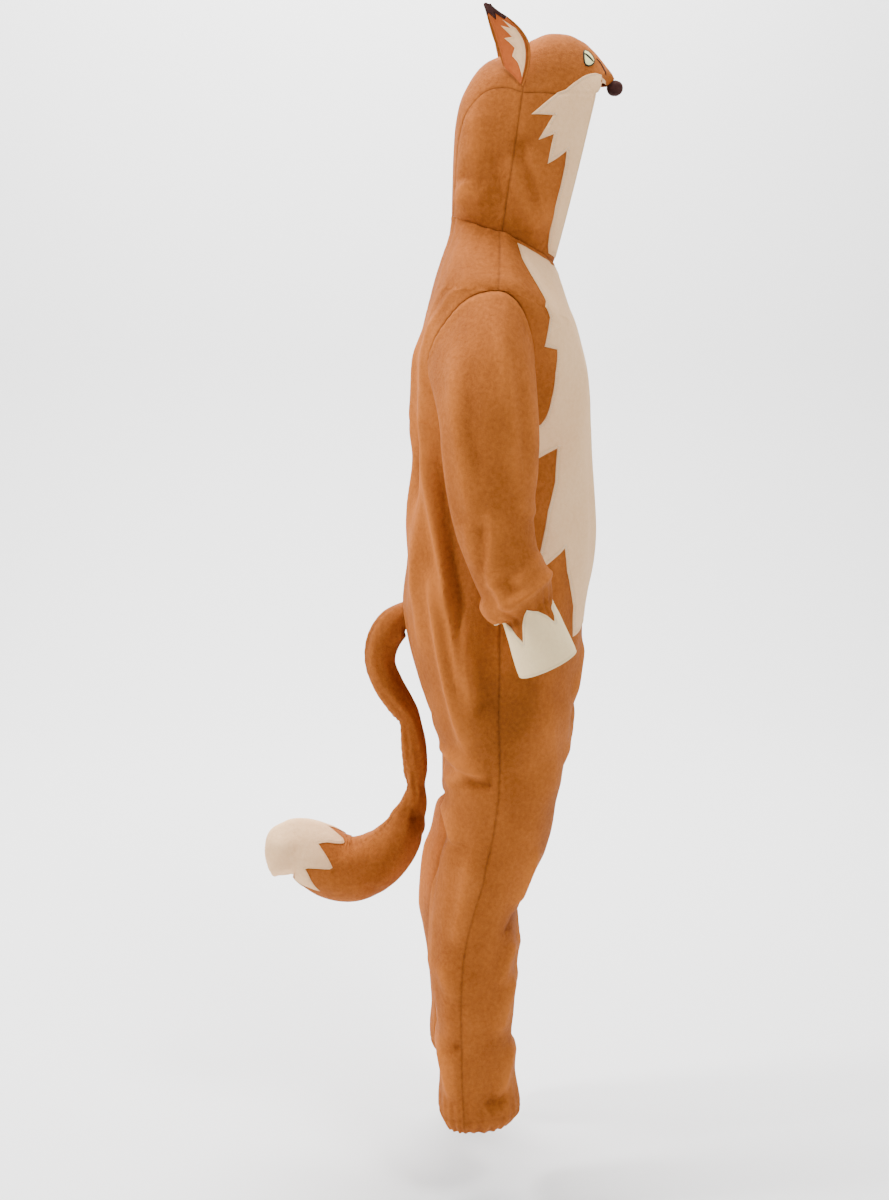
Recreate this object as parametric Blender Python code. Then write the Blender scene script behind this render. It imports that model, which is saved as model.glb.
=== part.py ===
"""Fox costume: a hooded fleece onesie with snout, ears, tail, cream front and cream cuffs.

Metres, +Z up. The costume faces -Y, the wearer's left is +X. The origin lies between the
shoulders at the base of the neck, where the garment hangs on its wearer; the floor is
1.5265 m below it. Every piece of cloth is a grid of points worked out from a table of rows,
given a wall, with a small gap to its neighbour where the two are sewn.
"""
import math

import bpy
import numpy as np
from mathutils import Vector
from mathutils.geometry import delaunay_2d_cdt

# Driving sizes
WALL = 0.0022            # fleece, sewn
PATCH = 0.0012           # cream and felt patches
SEAM_HALF_GAP = 0.00018  # each side of a seam stands back this far
LAY_GAP = 0.0004         # under a patch that lies on a panel
TUBE_GAP = 0.0005        # between a set-in tube and the panel it is sewn to

# Mesh density
BODY_COLUMNS = 10        # across each front or back, an even number
YOKE_ROWS = 4
ARMHOLE_ROWS = 8
LOWER_ROWS = 20
CAP_ROWS = 3
HOOD_SIDE_COLUMNS = 5
HOOD_TOP_COLUMNS = 4
HOOD_ROWS = 12
FRONT_ROWS = 8
SNOUT_ROWS = 4
TAIL_SIDES = 12
TAIL_RINGS = 31
SEARCH_STEPS = 260       # places tried along each side of a grid
SECTION_STEPS = 300      # places along a section when it is spaced evenly
ROW_STEP = 1e-3          # small step, in rows and radians, for the body's normals
DRAW_SHARE = 0.3         # a seam's edge moves by no more than this share of its column

# Half of the body, neck to ankle. Heights and depths at the centre front, side and back,
# then the half's middle and half width across, and how square the section is.
# z front, z side, z back, y front, y side, y back, middle x, half width, squareness
BODY_ROWS = [
    (-0.006, 0.040, 0.066, -0.092, -0.005, 0.068, 0.000, 0.078, 2.0),
    (-0.040, 0.014, 0.034, -0.103, -0.004, 0.072, 0.000, 0.122, 2.2),
    (-0.075, -0.018, -0.005, -0.114, -0.002, 0.085, 0.000, 0.163, 2.4),
    (-0.108, -0.048, -0.045, -0.127, 0.000, 0.097, 0.000, 0.189, 2.5),
    (-0.165, -0.115, -0.115, -0.142, 0.006, 0.113, 0.000, 0.187, 2.5),
    (-0.215, -0.185, -0.185, -0.149, 0.010, 0.120, 0.000, 0.178, 2.5),
    (-0.265, -0.250, -0.250, -0.152, 0.009, 0.123, 0.000, 0.171, 2.4),
    (-0.310, -0.305, -0.305, -0.155, 0.005, 0.125, 0.000, 0.170, 2.4),
    (-0.384, -0.384, -0.384, -0.161, 0.001, 0.129, 0.000, 0.173, 2.3),
    (-0.435, -0.435, -0.435, -0.163, -0.002, 0.134, 0.000, 0.179, 2.3),
    (-0.485, -0.485, -0.485, -0.159, -0.004, 0.140, 0.000, 0.187, 2.3),
    (-0.549, -0.549, -0.549, -0.147, -0.005, 0.147, 0.000, 0.197, 2.3),
    (-0.615, -0.615, -0.615, -0.142, -0.005, 0.137, 0.004, 0.198, 2.3),
    (-0.672, -0.672, -0.672, -0.136, -0.004, 0.121, 0.024, 0.177, 2.3),
    (-0.723, -0.723, -0.723, -0.125, -0.005, 0.103, 0.056, 0.145, 2.3),
    (-0.758, -0.758, -0.758, -0.115, -0.006, 0.086, 0.080, 0.119, 2.2),
    (-0.785, -0.785, -0.785, -0.109, -0.006, 0.076, 0.096, 0.1035, 2.2),
    (-0.805, -0.805, -0.805, -0.106, -0.005, 0.075, 0.103, 0.0985, 2.2),
    (-0.836, -0.836, -0.836, -0.102, -0.003, 0.079, 0.106, 0.0945, 2.2),
    (-0.896, -0.896, -0.896, -0.094, 0.005, 0.077, 0.108, 0.0880, 2.2),
    (-0.935, -0.935, -0.935, -0.082, 0.014, 0.086, 0.110, 0.0840, 2.2),
    (-0.970, -0.970, -0.970, -0.063, 0.020, 0.090, 0.112, 0.0810, 2.2),
    (-1.017, -1.017, -1.017, -0.044, 0.034, 0.096, 0.116, 0.0770, 2.2),
    (-1.072, -1.072, -1.072, -0.037, 0.046, 0.099, 0.119, 0.0735, 2.2),
    (-1.130, -1.130, -1.130, -0.033, 0.052, 0.100, 0.122, 0.0710, 2.2),
    (-1.190, -1.190, -1.190, -0.033, 0.053, 0.095, 0.126, 0.0690, 2.2),
    (-1.250, -1.250, -1.250, -0.030, 0.052, 0.089, 0.130, 0.0665, 2.2),
    (-1.300, -1.300, -1.300, -0.033, 0.051, 0.086, 0.133, 0.0645, 2.2),
    (-1.345, -1.345, -1.345, -0.042, 0.049, 0.089, 0.137, 0.0640, 2.2),
    (-1.372, -1.372, -1.372, -0.043, 0.048, 0.087, 0.139, 0.0600, 2.2),
    (-1.390, -1.390, -1.390, -0.027, 0.046, 0.077, 0.140, 0.0500, 2.2),
]
ARMHOLE_TOP = 3          # the row at the shoulder point
UNDERARM = 6             # the row where the armhole closes again
ARMHOLE_FRONT = 0.060    # half the hole's depth, forwards
ARMHOLE_BACK = 0.085     # and backwards
SLOPE = 1.2              # how the rows' height runs from the side to the centre
LEG_STEP = 0.017         # the left leg stands this far behind the right one
LEG_STEP_FROM = -0.70
LEG_STEP_FULL = -1.10
HEM_GATHER = 0.0022      # half height of the pinches at the elastic
HEM_ROWS = (0.25, 0.7, 1.0)

# Large folds of the body. Side is -1 right, 1 left; around runs from 0 at the centre front
# over 0.5 at the side to 1 at the centre back.
# side, around at the top, z at the top, around at the foot, z at the foot, half width, height
BODY_FOLDS = [
    (-1, 0.86, -0.11, 0.80, -0.60, 0.020, 0.0081),
    (-1, 0.79, -0.14, 0.70, -0.74, 0.019, 0.0095),
    (-1, 0.82, -0.20, 0.75, -0.66, 0.016, -0.0068),
    (-1, 0.71, -0.30, 0.60, -0.62, 0.018, 0.0068),
    (-1, 0.90, -0.50, 0.66, -0.64, 0.018, 0.0061),
    (-1, 0.70, -0.815, 0.55, -0.795, 0.014, -0.0068),
    (-1, 0.86, -0.925, 0.60, -0.955, 0.015, -0.0074),
    (-1, 0.30, -1.02, 0.46, -1.17, 0.018, 0.0068),
    (-1, 0.80, -1.16, 0.62, -1.27, 0.016, 0.0061),
    (-1, 0.12, -0.93, 0.42, -1.00, 0.016, -0.0068),
    (-1, 0.13, -0.45, 0.10, -0.60, 0.020, 0.0061),
    (1, 0.88, -0.13, 0.82, -0.55, 0.020, 0.0074),
    (1, 0.80, -0.12, 0.68, -0.70, 0.020, 0.0088),
    (1, 0.84, -0.22, 0.76, -0.70, 0.016, -0.0068),
    (1, 0.70, -0.33, 0.58, -0.66, 0.018, 0.0061),
    (1, 0.93, -0.55, 0.70, -0.66, 0.018, 0.0054),
    (1, 0.76, -0.800, 0.52, -0.815, 0.014, -0.0068),
    (1, 0.88, -0.945, 0.62, -0.965, 0.015, -0.0068),
    (1, 0.34, -1.00, 0.50, -1.19, 0.018, 0.0068),
    (1, 0.74, -1.13, 0.60, -1.30, 0.016, 0.0061),
    (1, 0.15, -0.94, 0.40, -0.98, 0.016, -0.0061),
    (1, 0.12, -0.42, 0.11, -0.58, 0.020, 0.0054),
]
FOLD_GIRTH = 0.58        # turns a share of the way round into a length
FOLD_END = 0.22          # share of a fold over which it fades out
CENTRE_CALM = 0.05       # folds die away this close to a centre seam

# Arm of the right sleeve below the cap; the left one mirrors it.
# x, y, z, half width, half depth, tilt forwards in degrees
ARM_TABLE = [
    (0.243, 0.014, -0.270, 0.056, 0.0700, 0.0),
    (0.247, 0.014, -0.312, 0.054, 0.0660, 0.0),
    (0.250, 0.012, -0.352, 0.053, 0.0620, 2.0),
    (0.254, 0.006, -0.396, 0.052, 0.0575, 6.0),
    (0.258, -0.005, -0.436, 0.051, 0.0530, 11.0),
    (0.262, -0.018, -0.468, 0.051, 0.0520, 16.0),
    (0.264, -0.030, -0.492, 0.050, 0.0500, 19.0),
    (0.265, -0.0385, -0.508, 0.044, 0.0440, 20.0),
    (0.266, -0.0435, -0.518, 0.039, 0.0385, 21.0),
    (0.267, -0.053, -0.540, 0.040, 0.0405, 22.0),
    (0.268, -0.0635, -0.567, 0.042, 0.0435, 24.0),
    (0.270, -0.0745, -0.5955, 0.044, 0.0455, 25.0),
]
CAP_OUT = 38.0           # degrees below level at which the sleeve leaves the shoulder
# Folds of a sleeve: side, turn at the top, row at the top, turn at the foot, row at the foot,
# half width, height. Turn is 0 under the arm, 0.25 behind, 0.5 outside, 0.75 in front; a row
# counts from the armhole.
SLEEVE_FOLDS = [
    (-1, 0.28, 0.8, 0.20, 7.5, 0.016, 0.0055),
    (-1, 0.40, 3.5, 0.24, 10.0, 0.015, 0.0050),
    (-1, 0.70, 9.2, 0.36, 10.2, 0.012, -0.0050),
    (-1, 0.66, 2.2, 0.58, 8.0, 0.015, 0.0040),
    (1, 0.26, 1.0, 0.18, 8.0, 0.016, 0.0050),
    (1, 0.42, 4.0, 0.26, 9.6, 0.015, 0.0050),
    (1, 0.72, 8.9, 0.40, 10.4, 0.012, -0.0050),
    (1, 0.64, 2.7, 0.60, 8.4, 0.015, 0.0040),
]
SLEEVE_GIRTH = 0.36
SLEEVE_STEP = 0.030      # a row of the sleeve as a length

# Cuff: turn round the wrist and row of the arm table for each corner of the zigzag
CUFF_FOOT = 10.93
CUFF_SEAM = 0.004
CUFF_POINTS = [
    (0.00, 9.10), (0.05, 7.60), (0.17, 9.20), (0.285, 7.15), (0.41, 9.25), (0.51, 6.90),
    (0.65, 8.90), (0.75, 7.20), (0.87, 9.10), (0.95, 7.60), (1.00, 9.10),
]

# Hood. Each arch runs from its foot to the crown line, straight as seen from the side. The
# last one that stands on the neck ring is also the edge of the face opening.
# Foot on the neck ring in degrees (90 nape, -90 front), crown y, crown z, half width,
# height of the shoulder of the arch, share of the width kept at the crown, seam up the arch
NECK_ARCHES = [
    (40.0, 0.0680, 0.0665, 0.078, 0.55, 0.55, 0.72),
    (31.0, 0.0672, 0.1080, 0.085, 0.50, 0.55, 0.72),
    (23.0, 0.0655, 0.1600, 0.095, 0.50, 0.55, 0.72),
    (16.0, 0.0615, 0.2080, 0.102, 0.50, 0.56, 0.70),
    (10.0, 0.0500, 0.2500, 0.107, 0.52, 0.57, 0.67),
    (5.0, 0.0200, 0.2920, 0.110, 0.55, 0.58, 0.62),
    (1.0, -0.0180, 0.3095, 0.111, 0.58, 0.60, 0.57),
    (-2.0, -0.0500, 0.3265, 0.111, 0.58, 0.60, 0.50),
    (-22.0, -0.0800, 0.3375, 0.111, 0.57, 0.60, 0.49),
    (-43.0, -0.1100, 0.3370, 0.111, 0.56, 0.59, 0.50),
    (-65.0, -0.1380, 0.3240, 0.112, 0.56, 0.57, 0.54),
    (-88.0, -0.1630, 0.2980, 0.112, 0.56, 0.55, 0.62),
]
# Arches of the snout, on the lower edge of the face piece:
# foot x, foot y, foot z, crown y, crown z, half width, shoulder, share kept
SNOUT_ARCHES = [
    (0.0480, -0.1545, 0.2545, -0.1700, 0.2900, 0.050, 0.50, 0.55),
    (0.0400, -0.1592, 0.2615, -0.1752, 0.2845, 0.039, 0.50, 0.55),
    (0.0270, -0.1650, 0.2625, -0.1793, 0.2795, 0.027, 0.50, 0.55),
    (0.0120, -0.1712, 0.2600, -0.1835, 0.2715, 0.013, 0.50, 0.55),
]
EAR_ARCH = 7             # the arch that carries the side seam, under the ear
CHEEK_FROM = 9.75        # arch where the cheek band starts on the neck ring
CHEEK_TO = 14.6          # and where it ends on the snout
CHEEK_RISE = 0.12        # mesh columns by which the band clears the neck seam
HOOD_GAP = 0.0007        # the hood's edge stands this far above the body's

# Side views of the patches: y, z
CHEEK_EDGE = [
    (-0.1660, 0.2660), (-0.1590, 0.2730), (-0.1500, 0.2755), (-0.1410, 0.2740),
    (-0.1230, 0.2640), (-0.1030, 0.2490), (-0.0900, 0.2440), (-0.0510, 0.2120),
    (-0.0840, 0.2110), (-0.0620, 0.1740), (-0.0850, 0.1830), (-0.0760, 0.1390),
    (-0.1050, 0.1580), (-0.1030, 0.1370), (-0.0970, 0.1060), (-0.0890, 0.0750),
    (-0.0830, 0.0450), (-0.0800, 0.0190),
]
BELLY_EDGE = [
    (-0.0370, -0.0020), (-0.0600, -0.0420), (-0.0710, -0.0640), (-0.0770, -0.0890),
    (-0.0730, -0.1130), (-0.0690, -0.1320), (-0.0890, -0.1360), (-0.0870, -0.1700),
    (-0.0810, -0.2110), (-0.0730, -0.2390), (-0.0570, -0.3030), (-0.0920, -0.2860),
    (-0.0890, -0.3360), (-0.0780, -0.3820), (-0.0580, -0.4750), (-0.1050, -0.4400),
    (-0.1090, -0.4770), (-0.1150, -0.5050), (-0.1210, -0.5350), (-0.1210, -0.5840),
]
BELLY_TOP_ROW = 0.35     # mesh row where the patch starts, just under the neck seam
BELLY_FOOT_Z = -0.562
EYE_CENTRE = (-0.1420, 0.2985)
EYE_SIZE = (0.0090, 0.0135)
EYE_TILT = 12.0
EYE_CORNERS = 14

# Ear, side view: rear y, rear z, front y, front z, hollow of its bowl
EAR_ROWS = [
    (-0.0100, 0.2860, -0.0390, 0.2530, 0.0040),
    (0.0000, 0.3100, -0.0485, 0.2860, 0.0080),
    (0.0075, 0.3290, -0.0480, 0.3140, 0.0085),
    (0.0125, 0.3440, -0.0360, 0.3350, 0.0070),
    (0.0165, 0.3580, -0.0160, 0.3530, 0.0040),
    (0.0195, 0.3690, 0.0060, 0.3660, 0.0015),
    (0.0208, 0.3730, 0.0110, 0.3722, 0.0005),
]
EAR_LEAN = 0.010         # the tip stands this much further out than the foot
EAR_FORWARD = {-1: 0.0, 1: 0.014}    # how far the right and the left tip lean forwards
EAR_STAND = 0.0010       # the foot's back lies this far off the hood
EAR_ACROSS = 6
EAR_BACK = 0.0016
EAR_FRONT = 0.0010
EAR_TIP_GAP = 0.012      # each side of the tip seam, in rows
EAR_MARGIN = 0.10        # share of the width that the front leaves bare at each edge
# Corners of the dark tip's lower edge and of the cream flash: across 0 rear to 1 front, up
EAR_TIP_EDGE = [(0.0, 3.90), (0.16, 4.25), (0.33, 3.60), (0.52, 4.30), (0.70, 3.75), (1.0, 4.10)]
EAR_FLASH = [
    (0.88, 0.35), (0.88, 1.60), (0.86, 3.10), (0.62, 3.75), (0.68, 3.05), (0.40, 3.15),
    (0.58, 2.30), (0.34, 2.05), (0.58, 1.55), (0.48, 1.00), (0.66, 0.80),
]

NOSE_CENTRE = (0.0, -0.1853, 0.2588)
NOSE_SIZE = (0.0130, 0.0105, 0.0120)
NOSE_RINGS = 9
NOSE_SIDES = 14
NOSE_END = 80.0          # latitude of its first and last ring, in degrees
NOSE_ROUND = 0.9         # below 1 the ball is squarer than a true one

# Tail, side view, from its root at the back of the body to its drooping end: y, z, radius
TAIL_ROWS = [
    (0.1405, -0.5735, 0.0262), (0.1640, -0.5900, 0.0285), (0.1815, -0.6190, 0.0271),
    (0.1857, -0.6539, 0.0250), (0.1728, -0.6894, 0.0246), (0.1531, -0.7217, 0.0225),
    (0.1370, -0.7489, 0.0190), (0.1294, -0.7934, 0.0200), (0.1262, -0.8330, 0.0187),
    (0.1263, -0.8624, 0.0178), (0.1290, -0.8870, 0.0215), (0.1370, -0.9140, 0.0290),
    (0.1490, -0.9430, 0.0370), (0.1690, -0.9710, 0.0440), (0.1970, -0.9950, 0.0500),
    (0.2300, -1.0080, 0.0555), (0.2640, -1.0030, 0.0565), (0.2940, -0.9850, 0.0550),
    (0.3200, -0.9700, 0.0500), (0.3400, -0.9700, 0.0450), (0.3540, -0.9760, 0.0370),
    (0.3630, -0.9860, 0.0260), (0.3660, -0.9970, 0.0160), (0.3640, -1.0080, 0.0100),
    (0.3600, -1.0180, 0.0060),
]
TAIL_ROOT_GAP = 0.0009
TAIL_ROOT_STEP = 0.004   # the second ring keeps this far off the first
TAIL_TIP_FROM = 17.4     # row of the zigzag's notches
TAIL_TIP_POINTS = 7
TAIL_TIP_REACH = 1.25    # rows that the points reach up the tail

TAPE_WALL = 0.0010
TAPE_COLUMNS = 0.42      # mesh columns that each half of the closure tape covers
TAPE_FOOT_Z = -0.60

# Colours, linear, and roughness
ORANGE = (0.52, 0.205, 0.062)
CREAM = (0.78, 0.59, 0.42)
CUFF_CREAM = (0.83, 0.75, 0.57)
DEEP_ORANGE = (0.50, 0.165, 0.055)
DARK_BROWN = (0.055, 0.022, 0.018)
EYE_CREAM = (0.85, 0.82, 0.50)


def material(name, colour, rough=0.95):
    """A plain cloth finish."""
    result = bpy.data.materials.new(name)
    result.use_nodes = True
    shader = result.node_tree.nodes["Principled BSDF"]
    shader.inputs["Base Color"].default_value = (*colour, 1.0)
    shader.inputs["Roughness"].default_value = rough
    result.diffuse_color = (*colour, 1.0)
    return result


def spline(table, at):
    """Read a table at fractional row numbers, on a smooth curve through its rows."""
    table = np.asarray(table, float)
    at = np.clip(np.asarray(at, float), 0, len(table) - 1)
    start = np.minimum(at.astype(int), len(table) - 2)
    t = (at - start)[..., None]
    before, first = table[np.maximum(start - 1, 0)], table[start]
    last, after = table[start + 1], table[np.minimum(start + 2, len(table) - 1)]
    leave, arrive = (last - before) / 2, (after - first) / 2
    return (first * (2 * t**3 - 3 * t**2 + 1) + last * (3 * t**2 - 2 * t**3)
            + leave * (t**3 - 2 * t**2 + t) + arrive * (t**3 - t**2))


def smooth(value):
    """0 below 0, 1 above 1, and an S curve between."""
    value = np.clip(value, 0, 1)
    return value * value * (3 - 2 * value)


def power(value, exponent):
    """A power that keeps the sign."""
    return np.sign(value) * np.abs(value) ** exponent


# Sheets: points, outward normals and triangles

def normals_of(points, faces):
    """Unit normal at each point, from the triangles round it."""
    corners = points[faces]
    flat = np.cross(corners[:, 1] - corners[:, 0], corners[:, 2] - corners[:, 0])
    total = np.zeros_like(points)
    for corner in range(3):
        np.add.at(total, faces[:, corner], flat)
    return total / np.maximum(np.linalg.norm(total, axis=1, keepdims=True), 1e-12)


def grid_faces(rows, columns):
    """Triangles of a grid, each cell cut from its first corner to its last."""
    row, column = np.meshgrid(np.arange(rows - 1), np.arange(columns - 1), indexing="ij")
    a = (row * columns + column).ravel()
    b, c, d = a + 1, a + columns + 1, a + columns
    return np.concatenate([np.stack([a, b, c], 1), np.stack([a, c, d], 1)])


def weld(points, normals, faces):
    """Join points that share a place and drop the triangles that this closes up."""
    places, first, index = np.unique(np.round(points, 7), axis=0, return_index=True,
                                     return_inverse=True)
    index = index.ravel()
    joined = np.zeros((len(places), 3))
    np.add.at(joined, index, normals)
    joined /= np.maximum(np.linalg.norm(joined, axis=1, keepdims=True), 1e-12)
    faces = index[faces]
    whole = ((faces[:, 0] != faces[:, 1]) & (faces[:, 1] != faces[:, 2])
             & (faces[:, 2] != faces[:, 0]))
    return points[first], joined, faces[whole]


def agree(points, normals, faces):
    """Turn the triangles so that they face the way their normals point."""
    corners = points[faces]
    flat = np.cross(corners[:, 1] - corners[:, 0], corners[:, 2] - corners[:, 0])
    if (flat * normals[faces].sum(axis=1)).sum() < 0:
        faces = faces[:, ::-1]
    return faces


def add_mesh(name, points, faces, finish):
    """Put a closed mesh into the scene."""
    mesh = bpy.data.meshes.new(name)
    mesh.from_pydata(points.tolist(), [], faces.tolist())
    mesh.update()
    mesh.shade_smooth()
    mesh.set_sharp_from_angle(angle=math.radians(40))
    mesh.materials.append(finish)
    result = bpy.data.objects.new(name, mesh)
    bpy.context.collection.objects.link(result)
    return result


def cloth(name, sheet, inner, outer, finish):
    """Give a sheet a wall from inner to outer along its normals, closed round its edges."""
    points, normals, faces = weld(*sheet)
    faces = agree(points, normals, faces)
    count = len(points)
    edges = np.concatenate([faces[:, [0, 1]], faces[:, [1, 2]], faces[:, [2, 0]]])
    seen = {tuple(edge) for edge in edges.tolist()}
    rim = np.array([edge for edge in edges.tolist() if (edge[1], edge[0]) not in seen])
    rim_faces = np.concatenate([
        np.stack([rim[:, 1], rim[:, 0], rim[:, 0] + count], 1),
        np.stack([rim[:, 1], rim[:, 0] + count, rim[:, 1] + count], 1),
    ])
    both = np.concatenate([points + normals * outer, points + normals * inner])
    return add_mesh(name, both, np.concatenate([faces, faces[:, ::-1] + count, rim_faces]), finish)


def flatten(points, normals):
    """A grid of points and normals as a sheet."""
    rows, columns = points.shape[:2]
    return points.reshape(-1, 3), normals.reshape(-1, 3), grid_faces(rows, columns)


def grid_normals(points):
    """Outward normals of a grid that wraps round its own middle."""
    flat = points.reshape(-1, 3)
    faces = grid_faces(*points.shape[:2])
    normals = normals_of(flat, faces)
    if ((flat - flat.mean(axis=0)) * normals).sum() < 0:
        normals = -normals
    return normals.reshape(points.shape)


def draw_back(points, edge, distance=SEAM_HALF_GAP):
    """Move one edge column of a grid towards the next, for the gap at a seam."""
    inside = 1 if edge == 0 else -2
    step = points[:, inside] - points[:, edge]
    length = np.maximum(np.linalg.norm(step, axis=1, keepdims=True), 1e-9)
    points = points.copy()
    points[:, edge] += step / length * np.minimum(distance, length * DRAW_SHARE)
    return points


def patch_sheet(points, normals, outline):
    """The part of a grid inside an outline given in rows and columns of that grid."""
    rows, columns = points.shape[:2]
    outline = np.asarray(outline, float)
    low = np.maximum(np.floor(outline.min(axis=0)).astype(int) - 1, 0)
    high = np.minimum(np.ceil(outline.max(axis=0)).astype(int) + 1, [rows - 1, columns - 1])
    spots = [Vector(corner) for corner in outline.tolist()]
    edges = [(i, (i + 1) % len(spots)) for i in range(len(spots))]
    places = {}
    for row in range(low[0], high[0] + 1):
        for column in range(low[1], high[1] + 1):
            places[row, column] = len(spots)
            spots.append(Vector((row, column)))
    for (row, column), spot in places.items():
        for neighbour in ((row + 1, column), (row, column + 1), (row + 1, column + 1)):
            if neighbour in places:
                edges.append((spot, places[neighbour]))
    cut = delaunay_2d_cdt(spots, edges, [], 0, 1e-5)
    flat = np.array([tuple(spot) for spot in cut[0]])
    faces = np.array([face for face in cut[2] if len(face) == 3])
    faces = faces[inside(outline, flat[faces].mean(axis=1))]
    used, index = np.unique(faces, return_inverse=True)
    flat = flat[used]
    return on_facets(points, flat), on_facets(normals, flat), index.reshape(-1, 3)


def inside(outline, spots):
    """Which spots lie in a polygon, by counting the edges crossed."""
    result = np.zeros(len(spots), bool)
    for (x0, y0), (x1, y1) in zip(outline, np.roll(outline, -1, axis=0)):
        crosses = (y0 > spots[:, 1]) != (y1 > spots[:, 1])
        if y0 != y1:
            at = x0 + (spots[:, 1] - y0) * (x1 - x0) / (y1 - y0)
            result ^= crosses & (spots[:, 0] < at)
    return result


def on_facets(grid, spots):
    """Values of a grid at fractional rows and columns, flat across each of its triangles."""
    rows, columns = grid.shape[:2]
    base = np.clip(np.floor(spots).astype(int), 0, [rows - 2, columns - 2])
    down, along = (spots - base).T[:, :, None]
    row, column = base.T
    a, b = grid[row, column], grid[row, column + 1]
    c, d = grid[row + 1, column + 1], grid[row + 1, column]
    upper = a + along * (b - a) + down * (c - b)
    lower = a + down * (d - a) + along * (c - d)
    return np.where(along >= down, upper, lower)


def locate(grid, view, axes=(1, 2)):
    """Rows and columns of a grid where its view along an axis passes nearest each point."""
    rows, columns = grid.shape[:2]
    row, column = np.meshgrid(np.linspace(0, rows - 1, SEARCH_STEPS),
                              np.linspace(0, columns - 1, SEARCH_STEPS), indexing="ij")
    spots = np.stack([row.ravel(), column.ravel()], 1)
    seen = on_facets(grid, spots)[:, axes]
    result = []
    for target in np.asarray(view, float):
        result.append(spots[((seen - target) ** 2).sum(axis=1).argmin()])
    return np.array(result)


# Body

def body_lines(rows, side):
    """The columns of the body table at fractional rows, with the left leg set back."""
    line = spline(BODY_ROWS, rows)
    if side > 0:
        share = smooth((LEG_STEP_FROM - line[:, 1]) / (LEG_STEP_FROM - LEG_STEP_FULL))
        line[:, 3:6] += LEG_STEP * share[:, None]
    return line


def section(line, angle):
    """Points of a half section: -90 degrees is the centre front, 0 the side, 90 the back."""
    z_front, z_side, z_back, y_front, y_side, y_back, middle, half, square = line
    sine, cosine = np.sin(angle), np.cos(angle)
    depth = np.where(sine < 0, y_side - y_front, y_back - y_side)
    rise = np.where(sine < 0, z_front - z_side, z_back - z_side)
    x = middle + half * power(cosine, 2 / square)
    y = y_side + depth * power(sine, 2 / square)
    z = z_side + rise * np.abs(sine) ** SLOPE
    return np.stack([np.maximum(x, SEAM_HALF_GAP), y, z], -1)


def span(line):
    """Angle at which a half section meets the middle of the garment, or closes as a leg."""
    middle, half, square = line[6:9]
    return math.pi - math.acos(min(1.0, max(0.0, middle / half)) ** (square / 2))


def hole_angle(line, row, depth, reach):
    """Angle of the armhole's edge on a section, 0 where the section isn't cut."""
    share = (row - ARMHOLE_TOP) / (UNDERARM - ARMHOLE_TOP)
    if not 0 < share < 1:
        return 0.0
    hole = reach * math.sqrt(1 - (2 * share - 1) ** 2)
    return math.asin(min(1.0, (hole / depth) ** (line[8] / 2)))


def even_section(line, first, last, columns):
    """Points evenly spaced along a section between two angles."""
    angle = np.linspace(first, last, SECTION_STEPS)
    dense = section(line, angle)
    length = np.concatenate([[0], np.cumsum(np.linalg.norm(np.diff(dense, axis=0), axis=1))])
    return np.interp(np.linspace(0, length[-1], columns + 1), length, angle)


def body_mesh_rows():
    """Fractional table rows of the mesh: evenly down the yoke, round the armhole, then down."""
    turn = np.linspace(0, math.pi, ARMHOLE_ROWS + 1)
    hole = ARMHOLE_TOP + (UNDERARM - ARMHOLE_TOP) * (1 - np.cos(turn)) / 2
    yoke = np.linspace(0, ARMHOLE_TOP, YOKE_ROWS + 1)[:-1]
    lower = np.linspace(UNDERARM, len(BODY_ROWS) - 1, LOWER_ROWS + 1)[1:]
    return np.concatenate([yoke, hole, lower])


def fold_height(folds, side, across, down, girth, step=1.0):
    """Height of all folds of one side at places given across and down."""
    height = np.zeros(np.shape(across))
    for fold_side, top_across, top, foot_across, foot, half, rise in folds:
        if fold_side != side:
            continue
        run = np.array([(foot_across - top_across) * girth, (foot - top) * step])
        length = np.linalg.norm(run)
        out = np.stack([(across - top_across) * girth, (down - top) * step], -1)
        along = out @ run / length**2
        off = (out[..., 0] * run[1] - out[..., 1] * run[0]) / length
        ends = smooth(along / FOLD_END) * smooth((1 - along) / FOLD_END)
        height += rise * np.exp(-(off / half) ** 2) * ends
    return height


def body_panel(side, is_back):
    """Points and normals of one front or back, from the neck down and round from its front."""
    mesh_rows = body_mesh_rows()
    lines = body_lines(mesh_rows, side)
    points, normals = [], []
    share = np.linspace(0, 1, BODY_COLUMNS + 1)
    for row, line in zip(mesh_rows, lines):
        if is_back:
            hole = hole_angle(line, row, line[5] - line[4], ARMHOLE_BACK)
            angle = even_section(line, hole, span(line), BODY_COLUMNS)
        else:
            hole = hole_angle(line, row, line[4] - line[3], ARMHOLE_FRONT)
            angle = even_section(line, -span(line), -hole, BODY_COLUMNS)
        points.append(section(line, angle))
        normals.append(section_normals(side, row, angle))
    points, normals = np.array(points), np.array(normals)
    around = share * 0.5 + (0.5 if is_back else 0.0)
    around = np.broadcast_to(around, points.shape[:2])
    height = fold_height(BODY_FOLDS, side, around, points[..., 2], FOLD_GIRTH)
    height *= smooth(around / CENTRE_CALM) * smooth((1 - around) / CENTRE_CALM)
    for count, amount in enumerate(reversed(HEM_ROWS)):
        height[-1 - count] += HEM_GATHER * amount * np.cos(math.pi * BODY_COLUMNS * share)
    points = points + normals * height[..., None]
    points[..., 0] = np.maximum(points[..., 0], SEAM_HALF_GAP)
    flip = np.array([side, 1, 1])
    return points * flip, normals * flip


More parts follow.
